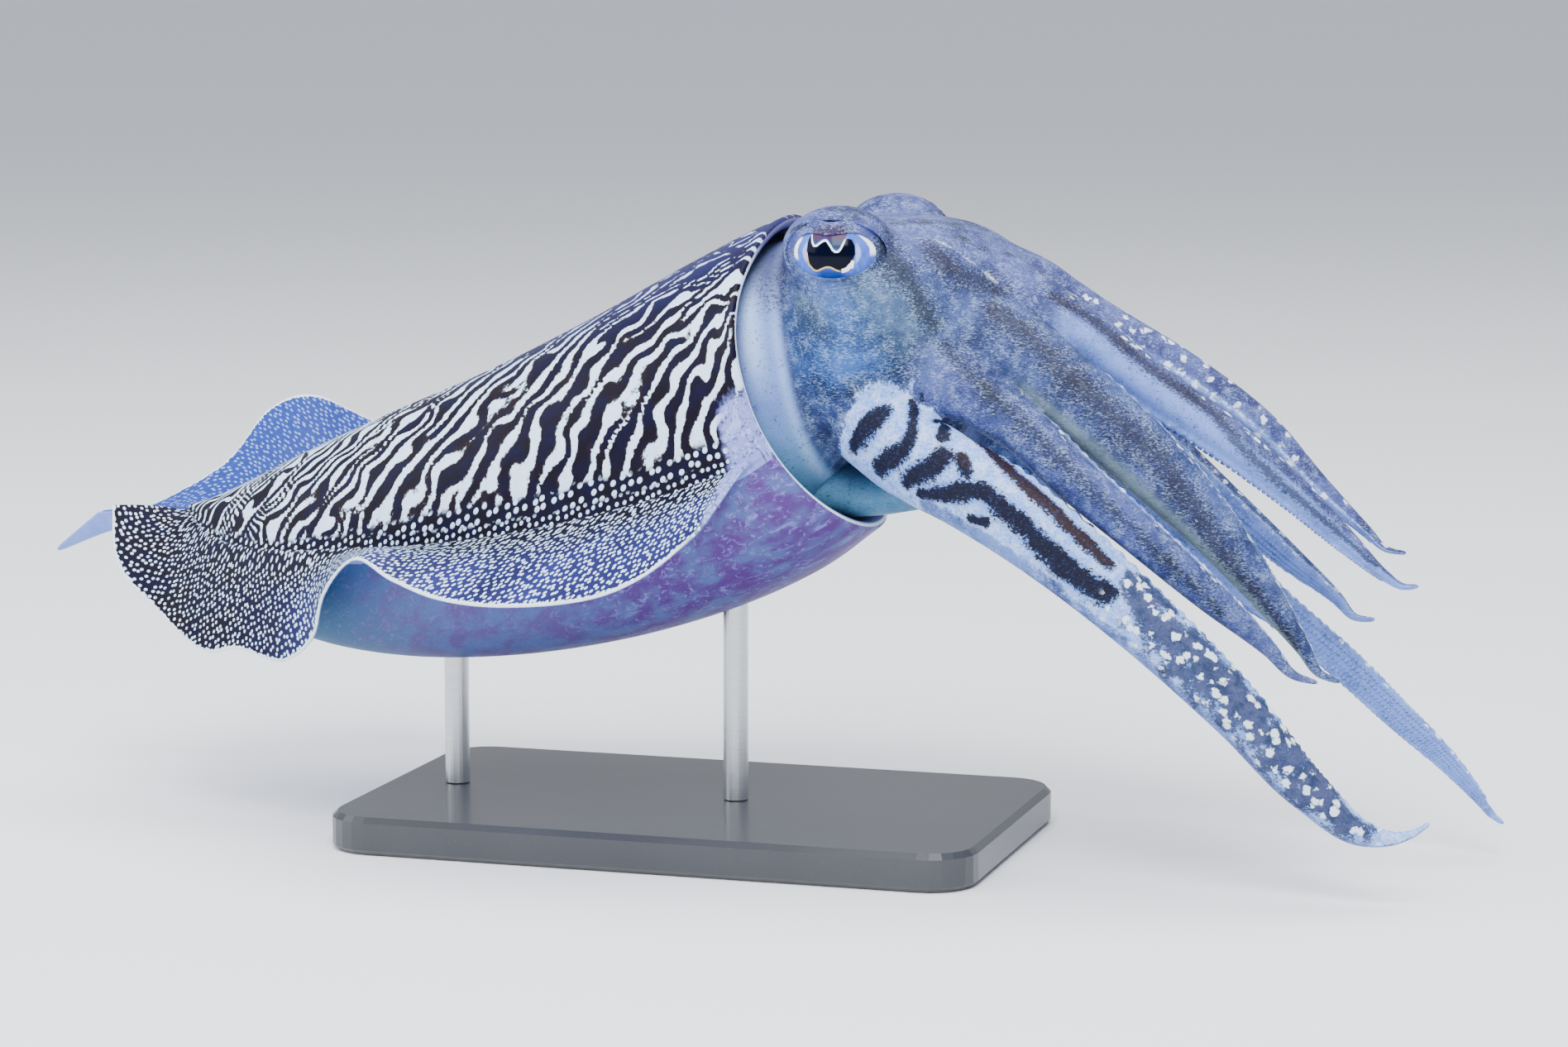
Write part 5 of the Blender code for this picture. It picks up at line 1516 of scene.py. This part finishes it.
    def tints(self, flat: Array, order: Array, distance: Array, low: Array,
              on_arm: Array) -> tuple[Array, Array]:
        """The ground colour, and how plain the skin is: greyed lilac on the head, bluer on the cheek,
        pale and smooth on the collar and between the arms, with painted shade in the crease behind the head,
        at the collar's top and on the neck inside the mantle, and painted highlights beside the crease and
        along the collar's rim."""
        middle, ahead = facing(HeadShape().knots[0])
        forward = (flat - middle) @ ahead
        tint = np.tile(linear(PALETTE.grey), (len(flat), 1))
        height = flat[:, 2]
        glass_one = on_arm * ease(distance, 34, 50) * ease(low, 14, 34) * (order == 1)
        glass_two = on_arm * ease(distance, 36, 50) * ease(low, 14, 40) * (order == 2)
        sides = on_arm * ease(distance, 40, 60) * ease(np.abs(low), 84, 112)
        collar = 1 - ease(forward, -1.6, 2.4)
        for amount, colour in (
                (ease(height, 74, 92), PALETTE.lilac),
                (1.3 * inside(flat, self.cheek), PALETTE.cheek),
                (0.7 * inside(flat, self.moss[0]), PALETTE.moss),
                (0.7 * inside(flat, self.moss[1]), PALETTE.moss),
                (on_arm * (order == 1), PALETTE.lilac),
                (0.6 * on_arm * (order == 3), PALETTE.lilac),
                (0.7 * on_arm * (order == 4) * ease(distance, 20, 40), PALETTE.pale),
                (0.8 * glass_one, PALETTE.pale),
                (glass_two, PALETTE.glass),
                (0.8 * sides, PALETTE.pale),
                (collar, PALETTE.collar),
                (collar * (1 - ease(height, 18, 46)), PALETTE.funnel),
                # Painted shadow along the crease where the head meets the neck, and painted highlights
                # beside it and along the collar's rim.
                (0.8 * bell(forward, 0.4, 0.8), PALETTE.shade),
                (0.35 * bell(forward, -2.2, 1.0), PALETTE.gleam),
                (0.8 * bell(forward, -9.0, 2.2) * ease(height, 40, 60), PALETTE.gleam),
                # Painted shade: dark brown-purple on the neck inside the mantle and at the top of the
                # collar.
                (0.7 * (1 - ease(forward, -16, -9)), PALETTE.brown_shade),
                (0.65 * collar * ease(height, 66, 80), PALETTE.brown_shade)):
            tint = tint + np.clip(amount, 0, 1)[:, None] * (linear(colour) - tint)
        plain = np.maximum(np.maximum(collar, 0.85 * np.maximum(glass_one, glass_two)), 0.6 * sides)
        return tint, np.clip(plain, 0, 1)


MARKS = SkinMarks()


@dataclass(frozen=True)
class SoftSkin:
    """The skin of head and arms: fine streaks, speckled patches, dark marks on white, and small spots."""

    roughness: float = 0.42
    dark: Triple = (0.035, 0.04, 0.12)
    brown: Triple = (0.12, 0.06, 0.08)
    white: Triple = (0.92, 0.98, 1)
    streak_turn: float = 0.42

    def make(self) -> Shader:
        """Build the material: tints and marks stored on the points, broken up by fine noise."""
        shader = Shader("soft skin", self.roughness, Specular_IOR_Level=0.16, Subsurface_Weight=0.08,
                        Subsurface_Scale=0.004)
        mix, noise, stored = shader.mix, shader.noise, shader.stored
        place = shader.place()
        fine = noise(place, 0.75, 4, 0.65)
        medium = noise(place, 3.4, 3, 0.6)
        stir, grit = medium - 0.5, fine - 0.5
        broad = noise(place, 13, 2)
        grain = 0.6 * fine + 0.4 * medium
        streak = noise(shader.place((620, 1200, 1900), (0, self.streak_turn, 0)), 0.6, 3, 0.65, 0.7)
        tint = stored("tint", "Color")
        shade = mix(1, tint, (0.5, 0.5, 0.56, 1), "MULTIPLY")
        rough = 1 - stored("plain") * 0.85
        light = mix((broad + stir * 0.7).ease(0.25, 0.6), mix(rough, tint, shade), tint)
        gleam = mix(0.5, tint, (0.78, 0.88, 1))
        light = mix((streak + stir * 0.6).ease(0.48, 0.7) * rough * 0.5, light, gleam)
        patch = stored("patch")
        thin = (streak + grit * 0.6 + (broad - 0.5) * 0.6).ease(0.5, 0.36) * rough
        specks = (fine + stir * 0.4).ease(0.4, 0.33) * (1 - rough)
        base = mix((thin * 0.55).most(specks * 0.7), light, PALETTE.grey_ink)
        speckle = (patch * 0.9 + (0.5 - streak) * 1.9 + grit * 1.2 + stir * 0.7).ease(0.3, 0.72)
        speckle = speckle * patch.ease(0.03, 0.3)
        base = mix(speckle * 0.78, base, stored("ink", "Color"))
        white = stored("white")
        whiteness = (white + grit * 0.9 + stir * 1.1 + (0.5 - streak) * 0.9).ease(0.3, 0.7)
        snow = mix((grain - 0.42) * 2.6, (0.4, 0.56, 0.88), self.white)
        base = mix(whiteness, base, snow)
        ragged = grit * 1.1 + stir * 0.7 + (0.5 - streak) * 0.6
        mark = (stored("mark") + ragged).ease(0.38, 0.62)
        blotch = (stored("blotch") + (noise(place, 5.5, 2) - 0.5) * 1.3 + ragged).ease(0.36, 0.6)
        ink = mix(stored("warm"), self.dark, self.brown)
        ink = mix((streak + grit).ease(0.52, 0.8) * 0.3, ink, (0.26, 0.34, 0.62))
        field = mix(medium.ease(0.35, 0.6), self.dark, (0.12, 0.13, 0.31))
        base = mix(blotch * 0.9, base, field)
        base = mix(mark, base, ink)
        drift = shader.node("TexNoise", None, {"Vector": place, "Scale": 0.7}, "Color")
        moved = shader.shifted(place, drift, 2.6)
        cell = shader.cells(moved, 4, 0.9, "3D")
        dots = (cell + stir * 0.16 - stored("blotch").ease(0.2, 0.7) * 0.05).ease(0.32, 0.2)
        dots = dots * stored("spots").ease(0.2, 0.6)
        pale = (stored("pale") + grit * 1.2 + stir * 0.8).ease(0.5, 0.95)
        base = mix((dots * 0.85).most(pale * 0.6), base, (0.88, 0.94, 1))
        height = 0.4 * fine + 0.25 * medium + 0.35 * streak
        shader.wire(Base_Color=base, Normal=shader.bump(height, 0.5, 0.8), Roughness=0.36 + 0.2 * grain)
        return shader


@lru_cache(maxsize=None)
def soft_skin() -> Shader:
    """The one soft skin that head, lids, arms, suckers, funnel and lips share."""
    return SoftSkin().make()


def dress_evenly(piece: Piece, colour: Triple, plain: float) -> None:
    """Dress a piece in the soft skin with one tint and one plainness all over."""
    count = len(piece.data.vertices)
    set_values(piece, tint=np.tile(linear(colour), (count, 1)), plain=np.full(count, plain))
    dress(piece, soft_skin())


@dataclass(frozen=True)
class StripedSkin:
    """The skin of mantle and fins: stripes, ovals and dots on a dark ground, a white margin, a belly, and
    painted shade inside the mantle's rim.
    """

    roughness: float = 0.4
    white: Triple = (0.9, 0.97, 1)
    dark: Triple = (0.045, 0.02, 0.07)
    blue: Triple = (0.02, 0.03, 0.18)
    fringe: Triple = (0.13, 0.075, 0.08)

    def make(self) -> Shader:
        """Build the material from the stored stripe field and the distances across each fin."""
        shader = Shader("striped skin", self.roughness, Specular_IOR_Level=0.12, Subsurface_Weight=0.04,
                        Subsurface_Scale=0.004)
        mix, noise, stored = shader.mix, shader.noise, shader.stored
        place = shader.map_place()
        fine = noise(place, 0.8, 4, 0.65)
        medium = noise(place, 2.6, 3, 0.6)
        stir, grit = medium - 0.5, fine - 0.5
        broad = noise(place, 16, 2)
        grain = 0.5 * fine + 0.5 * medium
        along, fin, edge = (stored(name) for name in ("along", "fin", "edge"))
        above, under, past = (stored(name) for name in ("above_root", "under", "past"))
        upper = above.ease(46, 78)
        stripe = stored("stripe") + stir * 1.5 + grit * 0.6 - 0.06 - upper * 0.34
        limit = 2.5 + 6.5 * along.ease(50, 105) + (broad - 0.5) * 7 + stir * 4
        dotted = (above - limit).ease(1, -1)
        ovals = shader.cells(place, 3.1, 0.42) + grit * 0.1
        pearls = shader.cells(place, 2.3, 0.42) + grit * 0.1
        oval = above.ease(2.6, 4.2) * ovals.ease(0.31, 0.24) + above.ease(4.2, 2.6) * pearls.ease(0.3, 0.23)
        white = self.between(shader, dotted, stripe.ease(0, 0.26), oval)
        dots = shader.cells(self.fin_place(shader), 1.72, 0.62)
        size = 0.285 + (broad - 0.5) * 0.1 - 0.035 * along.ease(60, 20)
        dot = (dots + grit * 0.16 - size).ease(0.05, -0.05)
        on_fin = (fin + stir * 1.2).ease(0.5, 1.6)
        white = self.between(shader, on_fin, white, dot)
        ground = mix((noise(place, 6, 3) - 0.36) * 2.4, self.dark, self.blue)
        ground = mix(fine.ease(0.62, 0.76) * 0.12, ground, (0.24, 0.26, 0.56))
        lilac = upper * 0.35 + fin.ease(3, 20) * (0.3 + 0.9 * (broad - 0.36)) * along.ease(20, 75)
        ground = mix(lilac.least(0.75), ground, (0.19, 0.21, 0.52))
        ring = stripe.ease(-0.45, -0.1) * stripe.ease(0.1, -0.06) * (1 - dotted) * (1 - on_fin)
        ground = mix(ring * 0.6, ground, self.fringe)
        snow = mix(grain * 1.2, (0.56, 0.72, 0.98), self.white)
        snow = mix(upper * 0.5, snow, (0.52, 0.56, 0.86))
        skin = mix(white, ground, snow)
        sheer = mix(grain, (0.05, 0.13, 0.44), (0.22, 0.34, 0.72))
        sheer = mix(dot * 0.35, sheer, (0.6, 0.74, 1))
        skin = mix(stored("faint") * 0.85, skin, sheer)
        front = along.ease(191, 200) * above.ease(24, 12)
        mist = mix((fine + stir * 0.6).ease(0.48, 0.34) * 0.75, (0.56, 0.6, 0.88), (0.13, 0.12, 0.3))
        skin = mix((front + stir * 0.8).ease(0.3, 0.8) * 0.85, skin, mist)
        beads = (shader.cells(self.fin_place(shader), 1.3, 0.5) - 0.35) * 0.9
        margin = (edge + beads).ease(0.85, 0.5) * under.ease(0.9, 0.5) * along.ease(198, 188)
        skin = mix(margin * 0.9, skin, (0.9, 0.96, 1))
        skin = mix(self.belly_share(above, under, fin, stir), skin, self.belly(shader, along, place, fine))
        beneath = under.ease(0.6, 1) * fin.ease(0.3, 2)
        flap = mix(grain, (0.34, 0.42, 0.74), (0.56, 0.66, 0.92))
        skin = mix(beneath, skin, flap)
        crest = mix(above.ease(52, 66), (0.86, 0.95, 1), (0.42, 0.4, 0.58))
        inner = mix(past.ease(2, 2.8), crest, (0.3, 0.34, 0.6))
        # Further inside the rim the skin darkens to dark purple: painted shade in the mantle's opening.
        inner = mix(past.ease(4, 7.5), inner, (0.2, 0.15, 0.28))
        skin = mix((past + grit * 0.8).ease(1.2, 1.6), skin, inner)
        height = 0.4 * fine + 0.35 * medium + 0.25 * white * (1 - under)
        shader.wire(Base_Color=skin, Normal=shader.bump(height, 0.4, 0.7), Roughness=0.34 + 0.2 * grain)
        return shader

    def between(self, shader: Shader, share: Link, first: Link, second: Link) -> Link:
        """A share of the way from one number to another."""
        return shader.node("Mix", {"data_type": "FLOAT"}, {0: share, 2: first, 3: second})

    def fin_place(self, shader: Shader) -> Link:
        """The fin's own flat place: along its middle and out from the midline."""
        out = shader.node("SeparateXYZ", None, {"Vector": shader.map_place()}, "Y")
        return shader.node("CombineXYZ", None, {"X": shader.stored("fin_along"), "Y": out})

    def belly_share(self, above: Link, under: Link, fin: Link, stir: Link) -> Link:
        """How far a place belongs to the belly: below the fin's root and off the fin."""
        below = (above + stir * 4).ease(1, -3.5)
        return below * fin.ease(0.6, 0) * under.ease(0.2, 0.8)

    def belly(self, shader: Shader, along: Link, place: Link, fine: Link) -> Link:
        """The belly: teal behind, a rosy band, and mottled magenta in front."""
        cloud = shader.noise(place, 9, 4, 0.6)
        base = shader.mix(along.ease(40, 105), (0.12, 0.33, 0.46), (0.32, 0.38, 0.6))
        rosy = along.ease(55, 90) * cloud.ease(0.4, 0.62)
        base = shader.mix(rosy * 0.6, base, (0.36, 0.22, 0.46))
        front = along.ease(118, 170)
        base = shader.mix(front * cloud.ease(0.34, 0.6) * 0.7, base, (0.32, 0.15, 0.46))
        streaks = shader.noise(place, 3, 4, 0.7, 1.4).ease(0.52, 0.68) * (0.25 + 0.5 * front)
        base = shader.mix(streaks, base, (0.5, 0.5, 0.8))
        return shader.mix(fine.ease(0.44, 0.3) * 0.35, base, (0.17, 0.17, 0.32))


@dataclass(frozen=True)
class EyeFinish:
    """The eye: a W-shaped pupil with a white wavy rim in a silvery blue iris."""

    top: Pairs = (
        (-6, 0.4), (-5.9, 3.4), (-5.1, 5.3), (-4.6, 4.1), (-4.1, 3), (-3.5, 2.6), (-2.5, 3.1), (-1, 4.05),
        (0.1, 3.7), (1.3, 2.2), (2, 1.4), (2.65, 1.15), (3.3, 1.4), (3.9, 2.3), (4.4, 3.5), (5, 4.5),
        (5.7, 4.6), (6.6, 4), (7.35, 2.4), (7.5, 0.4))
    bottom: Pairs = (
        (-6, 0.4), (-5.5, -2.1), (-4.5, -3.5), (-3.4, -4.15), (-2.2, -3.9), (-0.5, -3.2), (1.1, -3.2),
        (2.4, -3.9), (4, -4.1), (5.6, -3.3), (6.7, -1.9), (7.4, 0.3))
    iris_middle: Pair = (0.7, 0.7)
    iris_radii: Pair = (11.3, 7.4)
    pupil_middle: float = 0.75
    pupil_half: float = 6.85

    def gap(self, shader: Shader, ahead: Link, up: Link, line: Pairs) -> Link:
        """How far a place lies from a curve, measured square to the curve."""
        here, before, after = (shader.curve(ahead + step, line, 9) for step in (0, -0.15, 0.15))
        slope = (after - before) / 0.3
        return abs(up - here) / (slope * slope + 1) ** 0.5

    def make(self, side: Side) -> Shader:
        """Build the material on the map of the eye's face, ahead and up in millimetres."""
        shader = Shader("eye " + side.name.lower(), 0.12, Specular_IOR_Level=0.1)
        mix, noise = shader.mix, shader.noise
        ahead = shader.node("SeparateXYZ", None, {"Vector": shader.map_place()}, "X")
        up = Link(shader, ahead.socket.node.outputs["Y"])
        top = shader.curve(ahead, self.top, 9)
        bottom = shader.curve(ahead, self.bottom, 9)
        width = abs(ahead - self.pupil_middle)
        pupil = width.ease(self.pupil_half, self.pupil_half - 0.2)
        pupil = (top - up).least(up - bottom).ease(-0.1, 0.12) * pupil
        across = (ahead - self.iris_middle[0]) / self.iris_radii[0]
        high = (up - self.iris_middle[1]) / self.iris_radii[1]
        ring = (across * across + high * high) ** 0.5
        grit = noise(shader.place(), 0.5, 3) - 0.5
        silk = noise(shader.map_place((1, 0.35, 1)), 0.9, 3)
        iris = mix(silk, (0.13, 0.24, 0.64), (0.36, 0.5, 0.88))
        iris = mix(up.ease(-2, -5) * width.ease(6, 2), iris, (0.03, 0.2, 0.5))
        iris = mix(ring.ease(0.98, 1.1), iris, (0.18, 0.2, 0.42))
        wide = ring + grit * 0.05
        left = abs(wide - 0.95).ease(0.09, 0.05) * ahead.ease(-7.6, -8.6) * up.ease(-2, -0.2)
        right = abs(wide - 0.95).ease(0.075, 0.04) * ahead.ease(6.4, 8.4) * up.ease(-0.6, 1)
        inner = abs(wide - 0.66).ease(0.09, 0.02) * width.ease(6.4, 7.2) * up.ease(-4.6, -2)
        iris = mix(inner * 0.75, iris, (0.64, 0.72, 0.97))
        iris = mix((left + right).least(1), iris, (0.97, 0.99, 1))
        flap = (up - top).ease(0.1, 0.9) * abs(ahead - 0.1).ease(5.4, 4.4) * up.ease(0.8, 1.8)
        lid = mix((up + grit * 1.4).ease(3.4, 5.4), (0.16, 0.22, 0.3), (0.28, 0.15, 0.24))
        iris = mix(flap * 0.95, iris, lid)
        face = mix(pupil, iris, (0, 0.01, 0.09))
        rim, low_gap = (self.gap(shader, ahead, up, line) for line in (self.top, self.bottom))
        wave = rim.ease(0.32, 0.2) * ahead.ease(-5.1, -4.8) * ahead.ease(4.9, 4.5) * up.ease(0.6, 1)
        crescent = low_gap.ease(0.62, 0.46) * ahead.ease(3.6, 4.2) * ahead.ease(7.4, 7)
        crescent = crescent * up.ease(-0.9, -1.7)
        amber = low_gap.ease(0.3, 0.12) * ahead.ease(3.8, 3) * width.ease(7.2, 6.8)
        face = mix(amber * 0.85, face, (0.86, 0.72, 0.42))
        face = mix(wave.most(crescent), face, (0.98, 1, 1))
        shader.wire(Base_Color=face)
        return shader


@dataclass(frozen=True)
class HornFinish:
    """The beak's horn: clouded from near black to brown, with growth lines."""

    def make(self) -> Shader:
        """Build the material from a banded noise."""
        shader = Shader("beak horn", 0.22, Specular_IOR_Level=0.6)
        mix, noise = shader.mix, shader.noise
        place = shader.place()
        cloud = noise(place, 3, 4)
        lines = (noise(shader.place((2600, 400, 400)), 1, 2) - 0.5) * 0.5
        base = mix(cloud + lines, (0.08, 0.05, 0.04), (0.34, 0.2, 0.12))
        shader.wire(Base_Color=base, Roughness=0.16 + 0.22 * cloud, Normal=shader.bump(cloud + lines, 0.1))
        return shader


@dataclass(frozen=True)
class LacquerFinish:
    """The base's satin lacquer: deep grey with a faint orange peel and a little settled dust."""

    def make(self) -> Shader:
        """Build the material: two scales of noise for tone and peel."""
        shader = Shader("stand lacquer", 0.34, Coat_Roughness=0.12)
        mix, noise = shader.mix, shader.noise
        place = shader.place()
        peel = noise(place, 1.1, 2)
        cloud = noise(place, 38, 4)
        dust = noise(place, 0.35, 2).ease(0.66, 0.78)
        base = mix(cloud, (0.15, 0.16, 0.18), (0.2, 0.21, 0.235))
        base = mix(dust * 0.3, base, (0.5, 0.5, 0.5))
        shader.wire(Base_Color=base, Roughness=0.3 + 0.14 * cloud + 0.1 * dust,
                    Coat_Weight=0.25 + 0.2 * cloud, Normal=shader.bump(peel, 0.05, 0.5))
        return shader


@dataclass(frozen=True)
class BrushedSteel:
    """The rods' brushed stainless steel, its fine lines running round them."""

    def make(self) -> Shader:
        """Build the material from noise squeezed along the rod, with clouding from handling."""
        shader = Shader("brushed steel", 0.3, Metallic=1)
        mix, noise = shader.mix, shader.noise
        lines = noise(shader.place((120, 120, 6000)), 1, 4, 0.7)
        cloud = noise(shader.place(), 9, 3)
        base = mix(lines, (0.66, 0.67, 0.69), (0.86, 0.87, 0.88))
        shader.wire(Base_Color=base, Roughness=0.2 + 0.16 * lines + 0.1 * cloud,
                    Normal=shader.bump(lines, 0.03, 0.5))
        return shader


def studio() -> None:
    """The pale floor under the stand."""
    floor_z = BASE_MIDDLE[2] + SHIFT[2]
    span = 40000
    mesh = bpy.data.meshes.new("floor")
    corners = [(x * span * MM, y * span * MM, floor_z * MM) for x, y in ((-1, -1), (1, -1), (1, 1), (-1, 1))]
    mesh.from_pydata(corners, [], [(0, 1, 2, 3)])
    floor = linked("floor", mesh)
    shader = Shader("floor", 0.7)
    shader.surface.inputs["Base Color"].default_value = srgb(0.93, 0.94, 0.96)
    dress(floor, shader)


def aimed(name: str, data: bpy.types.ID, place: Vector, target: Vector) -> Piece:
    """A new light or camera at a place, level and facing a target."""
    thing = linked(name, data)
    turn = (place - target).to_track_quat("Z", "Y").to_matrix().to_4x4()
    thing.matrix_world = Matrix.Translation(place) @ turn
    return thing


def camera() -> None:
    """The camera: the photograph's direction, distance and framing."""
    azimuth, elevation, distance = math.radians(17.0), math.radians(8.0), 1200.0
    target = Vector((CAMERA_TARGET + SHIFT) * MM)
    back = Vector((math.sin(azimuth) * math.cos(elevation), -math.cos(azimuth) * math.cos(elevation),
                   math.sin(elevation)))
    data = bpy.data.cameras.new("camera")
    data.sensor_width = 36.0
    data.lens = PIXELS_PER_MM * distance / PICTURE_WIDTH * data.sensor_width
    data.clip_start, data.clip_end = 0.01, 50.0
    bpy.context.scene.camera = aimed("camera", data, target + back * distance * MM, target)


def light(name: str, place: Triple, size: float, watts: float, colour: Triple) -> None:
    """One square soft light that faces the animal."""
    data = bpy.data.lights.new(name, "AREA")
    data.shape = "SQUARE"
    data.size = size
    data.energy = watts
    data.color = colour
    aimed(name, data, Vector(place), Vector((LIGHT_TARGET + SHIFT) * MM))


@dataclass(frozen=True)
class CarriedParts:
    """The parts of the frame that show as they are: the beak, the stand's base and its rods."""

    beak: str = "beak"
    base: str = "stand_base"
    rods: tuple[str, ...] = ("stand_rod_1", "stand_rod_2")

    def dress(self) -> None:
        """Dress each part in its own material."""
        dress(bpy.data.objects[self.beak], HornFinish().make())
        dress(bpy.data.objects[self.base], LacquerFinish().make())
        steel = BrushedSteel().make()
        for name in self.rods:
            dress(bpy.data.objects[name], steel)
        LOG.info("carried parts dressed")


def main() -> None:
    """Build every piece in order."""
    logging.basicConfig(level=logging.INFO)
    body = BodyShape()
    MantleSkin(body).build(StripeField())
    eye = EyeShape()
    crown = CrownSkin(HeadShape(), body, eye)
    crown.build()
    for side in Side:
        LidSkin(crown, eye).build(side)
        Eyeball(eye).build(side)
    Arms().build()
    FunnelSkin().build()
    MouthSkin(crown.head).build()
    CarriedParts().dress()
    studio()
    camera()
    light("key", (0.3, -1.2, 1.4), 1.0, 58, (1.0, 0.99, 0.97))
    light("fill", (-1.3, -0.6, 0.9), 1.4, 20, (0.92, 0.96, 1.0))
    light("top", (0.1, 0.3, 1.7), 1.4, 30, (1.0, 1.0, 1.0))
    world = bpy.data.worlds.new("world")
    world.use_nodes = True
    world.node_tree.nodes["Background"].inputs["Color"].default_value = srgb(0.9, 0.92, 0.95)
    world.node_tree.nodes["Background"].inputs["Strength"].default_value = 0.85
    bpy.context.scene.world = world


if __name__ == "__main__":
    main()
